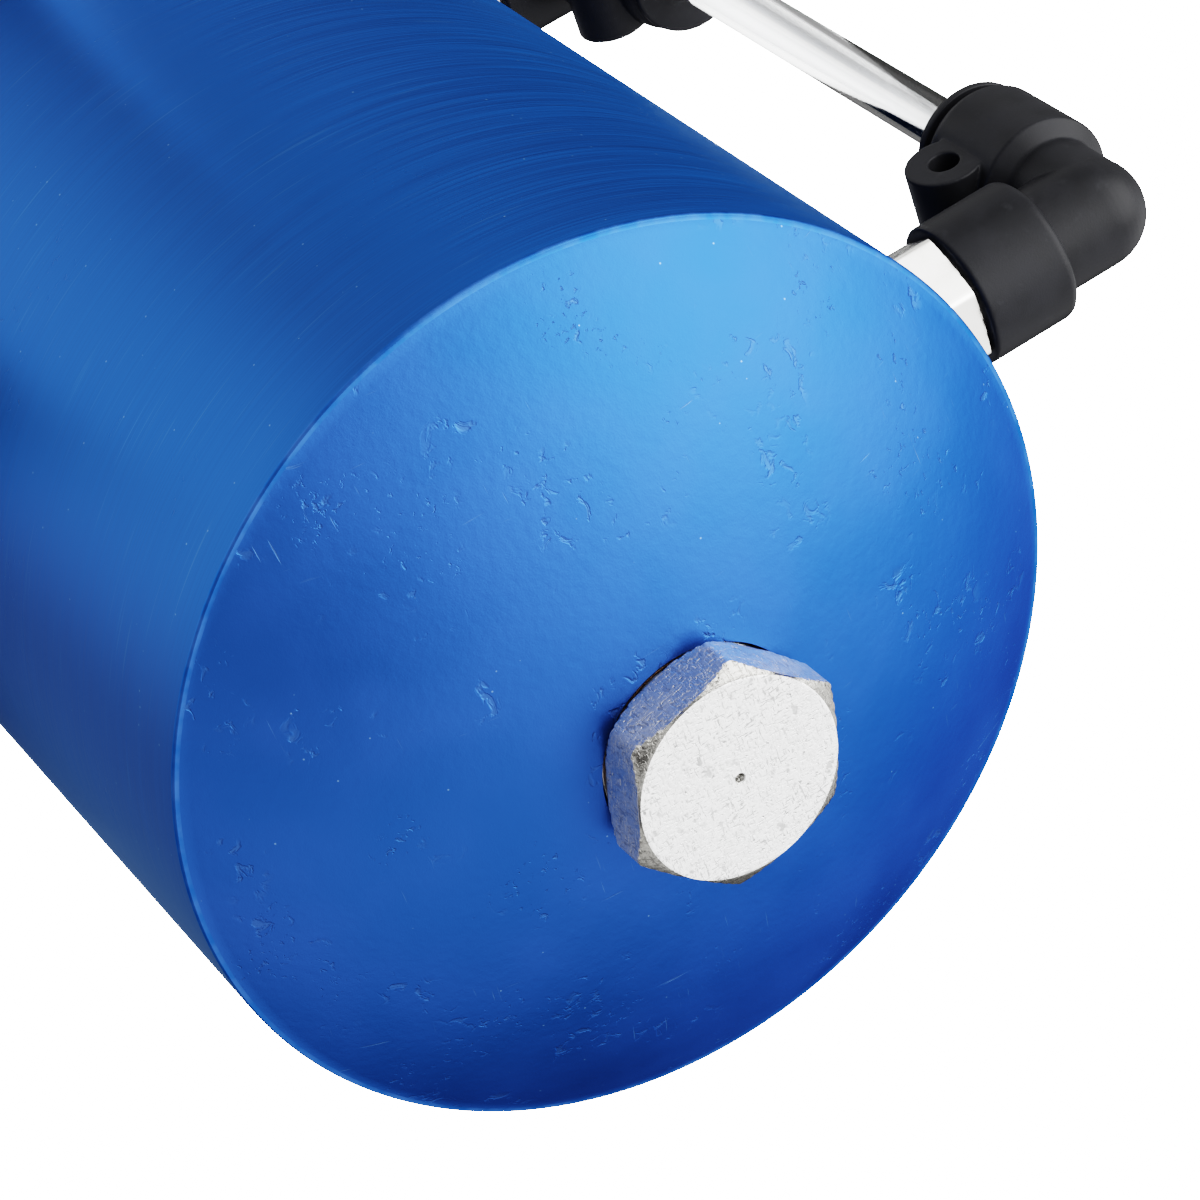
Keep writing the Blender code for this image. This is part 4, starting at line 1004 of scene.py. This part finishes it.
BAND_BORE, BAND_THICK, BAND_SLOTS = 0.0128, 0.0008, 34
HOUSING_INNER, HOUSING_HALF, HOUSING_BORE = 0.0131, 0.006, 0.0026
SCREW_X, SCREW_THREAD, SCREW_HEX = 0.0174, 0.0023, 0.007


def hose_clamp():
    """The worm clamp: slotted band, screw housing and screw."""
    low, high = in_can("clamp_band")
    band_low, band_high = low.z + 0.0004, high.z - 0.0004
    slots = []
    band = sleeve(BAND_BORE, BAND_BORE + BAND_THICK, band_low, band_high, 0.0002, 192)
    for k in range(BAND_SLOTS):
        turn = math.tau * k / BAND_SLOTS
        if math.cos(turn) < 0.75:
            start = (BAND_BORE - 0.002, -0.0004, band_low + 0.0022)
            slot = block(start, (BAND_BORE + 0.002, 0.0004, band_high - 0.0022))
            slot.transform(Matrix.Rotation(turn, 4, "Z"))
            slots.append(slot)
    band = combined(band, "DIFFERENCE", joined(slots))
    bm = evaluated(
        block((HOUSING_INNER, -HOUSING_HALF, low.z), (high.x, HOUSING_HALF, high.z)),
        ("BEVEL", {"width": 0.0012, "segments": 4, "limit_method": "NONE"}),
    )
    spot = beside("clamp_screw") @ Matrix.Translation((SCREW_X, 0, 0))
    bore = rod(HOUSING_BORE, -0.01, 0.01, 64, spot @ ALONG_Y)
    housing = combined(finished(bm), "DIFFERENCE", bore)
    piece("worm_clamp", combined(band, "UNION", housing), "lid", "stainless", "clamp_band")

    shaft_end, head_start, head_end = -0.0068, 0.0063, 0.0103
    rows = [(0, shaft_end), (0.0016, shaft_end)]
    rows += thread_rows(SCREW_THREAD, 0.0004, 0.0014, shaft_end + 0.0003, head_start)
    rows += [(0.0022, head_start), (0.0031, head_start), *hex_rows(SCREW_HEX, head_start, head_end)]
    rows += [(0.0030, head_end), (0, head_end)]
    slot = block((-0.0005, -0.01, head_end - 0.0013), (0.0005, 0.01, head_end + 0.01))
    screw = combined(revolved(rows, 96), "DIFFERENCE", slot)
    screw.transform(ALONG_Y)
    piece("worm_screw", screw, "clamp_screw", "stainless", "clamp_screw", spot)


# Mounting plate

PLATE_CORNER = 0.006
SLOT_X, SLOT_HALF_X, SLOT_HALF_Z = 0.037, 0.0033, 0.0083
SCREW_LEVELS = (("lower", -0.014), ("upper", 0.014))
PLATE_HOLE, SINK_RADIUS, SINK_DEPTH = 0.0031, 0.0063, 0.0032
STANDOFF, STANDOFF_THREAD_END = 0.0080, 0.0505
COUNTERSUNK, KEY_RADIUS, KEY_DEPTH = 0.0056, 0.0023, 0.0024


def plate_outline(half_x, half_z, corner, depth_low, depth_high, steps=12):
    """A rounded rectangle in X and Z, thick in Y."""
    bm = bmesh.new()
    outline = []
    for x, z, quarter in ((1, 1, 0), (-1, 1, 1), (-1, -1, 2), (1, -1, 3)):
        for i in range(steps + 1):
            turn = math.pi / 2 * (quarter + i / steps)
            across = x * (half_x - corner) + corner * math.cos(turn)
            up = z * (half_z - corner) + corner * math.sin(turn)
            outline.append(bm.verts.new((across, depth_low, up)))
    face = bm.faces.new(outline)
    grown = bmesh.ops.extrude_face_region(bm, geom=[face])["geom"]
    moved = [v for v in grown if isinstance(v, bmesh.types.BMVert)]
    bmesh.ops.translate(bm, verts=moved, vec=(0, depth_high - depth_low, 0))
    return finished(bm)


def mounting():
    """The back plate, and the two welded standoffs and screws that hold it."""
    low, high = in_can("mounting_plate")
    middle = beside("mounting_plate")
    plate = plate_outline((high.x - low.x) / 2, (high.z - low.z) / 2, PLATE_CORNER, low.y, high.y)
    for side in (-1, 1):
        slot = plate_outline(SLOT_HALF_X, SLOT_HALF_Z, SLOT_HALF_X - 0.00001, low.y - 0.001, high.y + 0.001)
        plate = combined(plate, "DIFFERENCE", slot, Matrix.Translation((side * SLOT_X, 0, 0)))
    sink = [(0, low.y - 0.001), (PLATE_HOLE, low.y - 0.001), (PLATE_HOLE, high.y - SINK_DEPTH)]
    sink += [(SINK_RADIUS, high.y), (SINK_RADIUS, high.y + 0.001), (0, high.y + 0.001)]
    for _, level in SCREW_LEVELS:
        hole = revolved(sink, 64, False, at_height(level) @ ALONG_Y)
        plate = combined(plate, "DIFFERENCE", hole)
    bevel = {"width": 0.0004, "segments": 3, "limit_method": "ANGLE", "angle_limit": 0.7}
    plate = finished(evaluated(plate, ("BEVEL", bevel)))
    piece("back_plate", plate, "can", "black_powder_coat", "mounting_plate", middle)
    for name, level in SCREW_LEVELS:
        place = middle @ at_height(level)
        end = in_can(f"{name}_plate_boss")[1].y
        profile = [(0, 0.0441), (STANDOFF, 0.0441), (STANDOFF, end, 0.0004), (PLATE_HOLE, end, 0.0002)]
        profile += [(PLATE_HOLE, STANDOFF_THREAD_END), (0, STANDOFF_THREAD_END)]
        boss = revolved(rounded(profile, 0), 128, False, ALONG_Y)
        boss = combined(boss, "DIFFERENCE", rod(CAN_RADIUS, -0.02, 0.02, 256))
        node = f"{name}_plate_boss"
        piece(f"{name}_plate_standoff", boss, "can", "anodised_blue", node, place, "turned")
        bead = weld_bead(STANDOFF + GAP, 0.0011, 24, ALONG_Y)
        piece(f"{name}_standoff_weld", bead, "can", "anodised_blue", None, place, "weld")
        top = high.y - 0.0001
        rows = [(0, top - 0.0111), (0.0022, top - 0.0111)]
        rows += thread_rows(0.0028, 0.0004, 0.0008, top - 0.0108, top - 0.0036)
        rows += [(0.0028, top - 0.0033), (COUNTERSUNK, top - 0.0004), (COUNTERSUNK, top - 0.0001)]
        rows += [(COUNTERSUNK - 0.0001, top), (0, top)]
        key = rod(KEY_RADIUS, top - KEY_DEPTH, top + 0.001, 6)
        screw = combined(revolved(rows, 96), "DIFFERENCE", key)
        screw.transform(ALONG_Y)
        piece(f"{name}_countersunk_screw", screw, "can", "stainless", f"{name}_plate_screw", place)


def inner_parts():
    """The CAD solids that stay, which are inner parts: each gets its finished material."""
    slots = {row["node"]: row["material_slot"] for row in frame["record"]["subparts"]}
    for name, node in NODES.items():
        if not node.hide_render:
            node.data.materials.clear()
            node.data.materials.append(MATERIALS[slots[name]])
            shaded(node.data)


# Studio

BACKDROP = 20.0
FLOOR_GAP = 0.010
FLOOR_GLOW = 1.3
FLOOR_RADIUS = 14
ROOM = 0.60
# Panels of light round the object: direction, inner and outer half-angle in degrees, strength.
# The last three are dark flags.
PANELS = (
    ((-0.30, -0.74, -0.60), 8, 48, 7.5),
    ((0.66, -0.72, -0.20), 8, 44, 1.3),
    ((-0.30, 0.47, 0.83), 5, 34, 1.55),
    ((0.16, 0.20, -0.96), 30, 70, 1.15),
    ((-0.60, 0.20, 0.77), 20, 60, 0.42),
    ((0.30, 0.46, 0.83), 8, 30, 0.38),
    ((-0.93, -0.33, -0.12), 12, 26, 2.2),
    ((0.38, -0.50, 0.78), 8, 48, -0.44),
    ((0.94, -0.20, 0.16), 10, 44, -0.42),
    ((-0.06, 0.46, -0.88), 10, 22, -1.60),
)
# What shows through the clear tube: white, with one dark side that draws its edge
THROUGH = 3.2
THROUGH_FLAG = ((0.20, -0.62, 0.76), 16, 32, -2.9)


# The camera, from the can's frame: direction and roll in degrees, distance, aim and lens
CAMERA_AZIMUTH, CAMERA_ELEVATION, CAMERA_ROLL = 157.45, -49.46, 49.8
CAMERA_DISTANCE = 0.4373
CAMERA_AIM = (-0.0017, -0.0040, 0.0109)
CAMERA_LENS, CAMERA_SENSOR = 132.6, 36.0


def camera():
    """Below the can, looking up at its bottom end, as in the photograph."""
    azimuth, elevation = math.radians(CAMERA_AZIMUTH), math.radians(CAMERA_ELEVATION)
    aim = CAN_FRAME + Vector(CAMERA_AIM)
    level = math.cos(elevation)
    towards = Vector((level * math.cos(azimuth), level * math.sin(azimuth), math.sin(elevation)))
    spot = CAN_FRAME + CAMERA_DISTANCE * towards
    data = bpy.data.cameras.new("camera")
    data.lens, data.sensor_width = CAMERA_LENS, CAMERA_SENSOR
    data.clip_start, data.clip_end = 0.01, 50.0
    look = (aim - spot).to_track_quat("-Z", "Y").to_matrix().to_4x4()
    roll = Matrix.Rotation(-math.radians(CAMERA_ROLL), 4, "Z")
    bpy.context.scene.camera = placed("camera", data, Matrix.Translation(spot) @ look @ roll)


def lobe(tree, direction, inner, outer):
    """A soft-edged patch of sky: 1 within an angle of a direction, 0 beyond another, in degrees."""
    towards = new_node(tree, "ShaderNodeTexCoord").outputs["Generated"]
    unit = new_node(tree, "ShaderNodeVectorMath", {0: towards}, operation="NORMALIZE").outputs[0]
    inputs = {0: unit, 1: Vector(direction).normalized()}
    dot = new_node(tree, "ShaderNodeVectorMath", inputs, operation="DOT_PRODUCT").outputs["Value"]
    low, high = (math.cos(math.radians(angle)) for angle in (outer, inner))
    inputs = {"Value": dot, "From Min": low, "From Max": high}
    return new_node(tree, "ShaderNodeMapRange", inputs, interpolation_type="SMOOTHSTEP").outputs["Result"]


def lit(tree, base, panels):
    """A brightness: the base with each panel's share added."""
    total = base
    for direction, inner, outer, strength in panels:
        inputs = {0: lobe(tree, direction, inner, outer), 1: strength, 2: total}
        total = new_node(tree, "ShaderNodeMath", inputs, operation="MULTIPLY_ADD").outputs[0]
    return total


def world():
    """White to the camera. To the object it is a soft room: pale sweep below, panels at the sides."""
    made = bpy.data.worlds.new("studio")
    made.use_nodes = True
    bpy.context.scene.world = made
    tree = made.node_tree
    tree.nodes.clear()
    rays = new_node(tree, "ShaderNodeLightPath").outputs
    strengths = (lit(tree, ROOM, PANELS), lit(tree, THROUGH, (THROUGH_FLAG,)), BACKDROP)
    shades = [{"Color": (1, 1, 1, 1), "Strength": strength} for strength in strengths]
    seen, through, backdrop = (new_node(tree, "ShaderNodeBackground", shade).outputs[0] for shade in shades)
    for ray, shade in (("Is Transmission Ray", through), ("Is Camera Ray", backdrop)):
        seen = new_node(tree, "ShaderNodeMixShader", {0: rays[ray], 1: seen, 2: shade}).outputs[0]
    new_node(tree, "ShaderNodeOutputWorld", {"Surface": seen})


def floor():
    """A pale floor under the plug. It is clear from underneath, and only the camera sees it."""
    spot = at_height(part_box("drain_plug")[0].z - FLOOR_GAP)
    bm = bmesh.new()
    bmesh.ops.create_circle(bm, cap_ends=True, segments=64, radius=FLOOR_RADIUS, matrix=spot)
    mesh = bpy.data.meshes.new("floor")
    bm.to_mesh(mesh)
    bm.free()
    made = placed("floor", mesh)
    s = Shader("pale_floor", Base_Color=(0.88, 0.88, 0.88), Roughness=0.8, Emission_Color=(1.0, 1.0, 1.0),
               Emission_Strength=FLOOR_GLOW)
    below = s.add("ShaderNodeNewGeometry").outputs["Backfacing"]
    clear = s.add("ShaderNodeBsdfTransparent").outputs[0]
    mix = s.add("ShaderNodeMixShader", {0: below, 1: s.principled.outputs[0], 2: clear})
    s.tree.links.new(mix.outputs[0], s.tree.nodes["Material Output"].inputs["Surface"])
    mesh.materials.append(s.material)
    for rays in ("diffuse", "glossy", "transmission", "volume_scatter", "shadow"):
        setattr(made, f"visible_{rays}", False)


camera()
can()
drain_plug()
drain_washer()
drain_bung()
sight_gauge()
lid()
hose_ports()
breather_tube()
rubber_boot()
filter_cone()
filter_cap()
hose_clamp()
mounting()
inner_parts()
world()
floor()
bpy.context.scene.view_settings.view_transform = "Filmic"
bpy.context.scene.view_settings.look = "High Contrast"
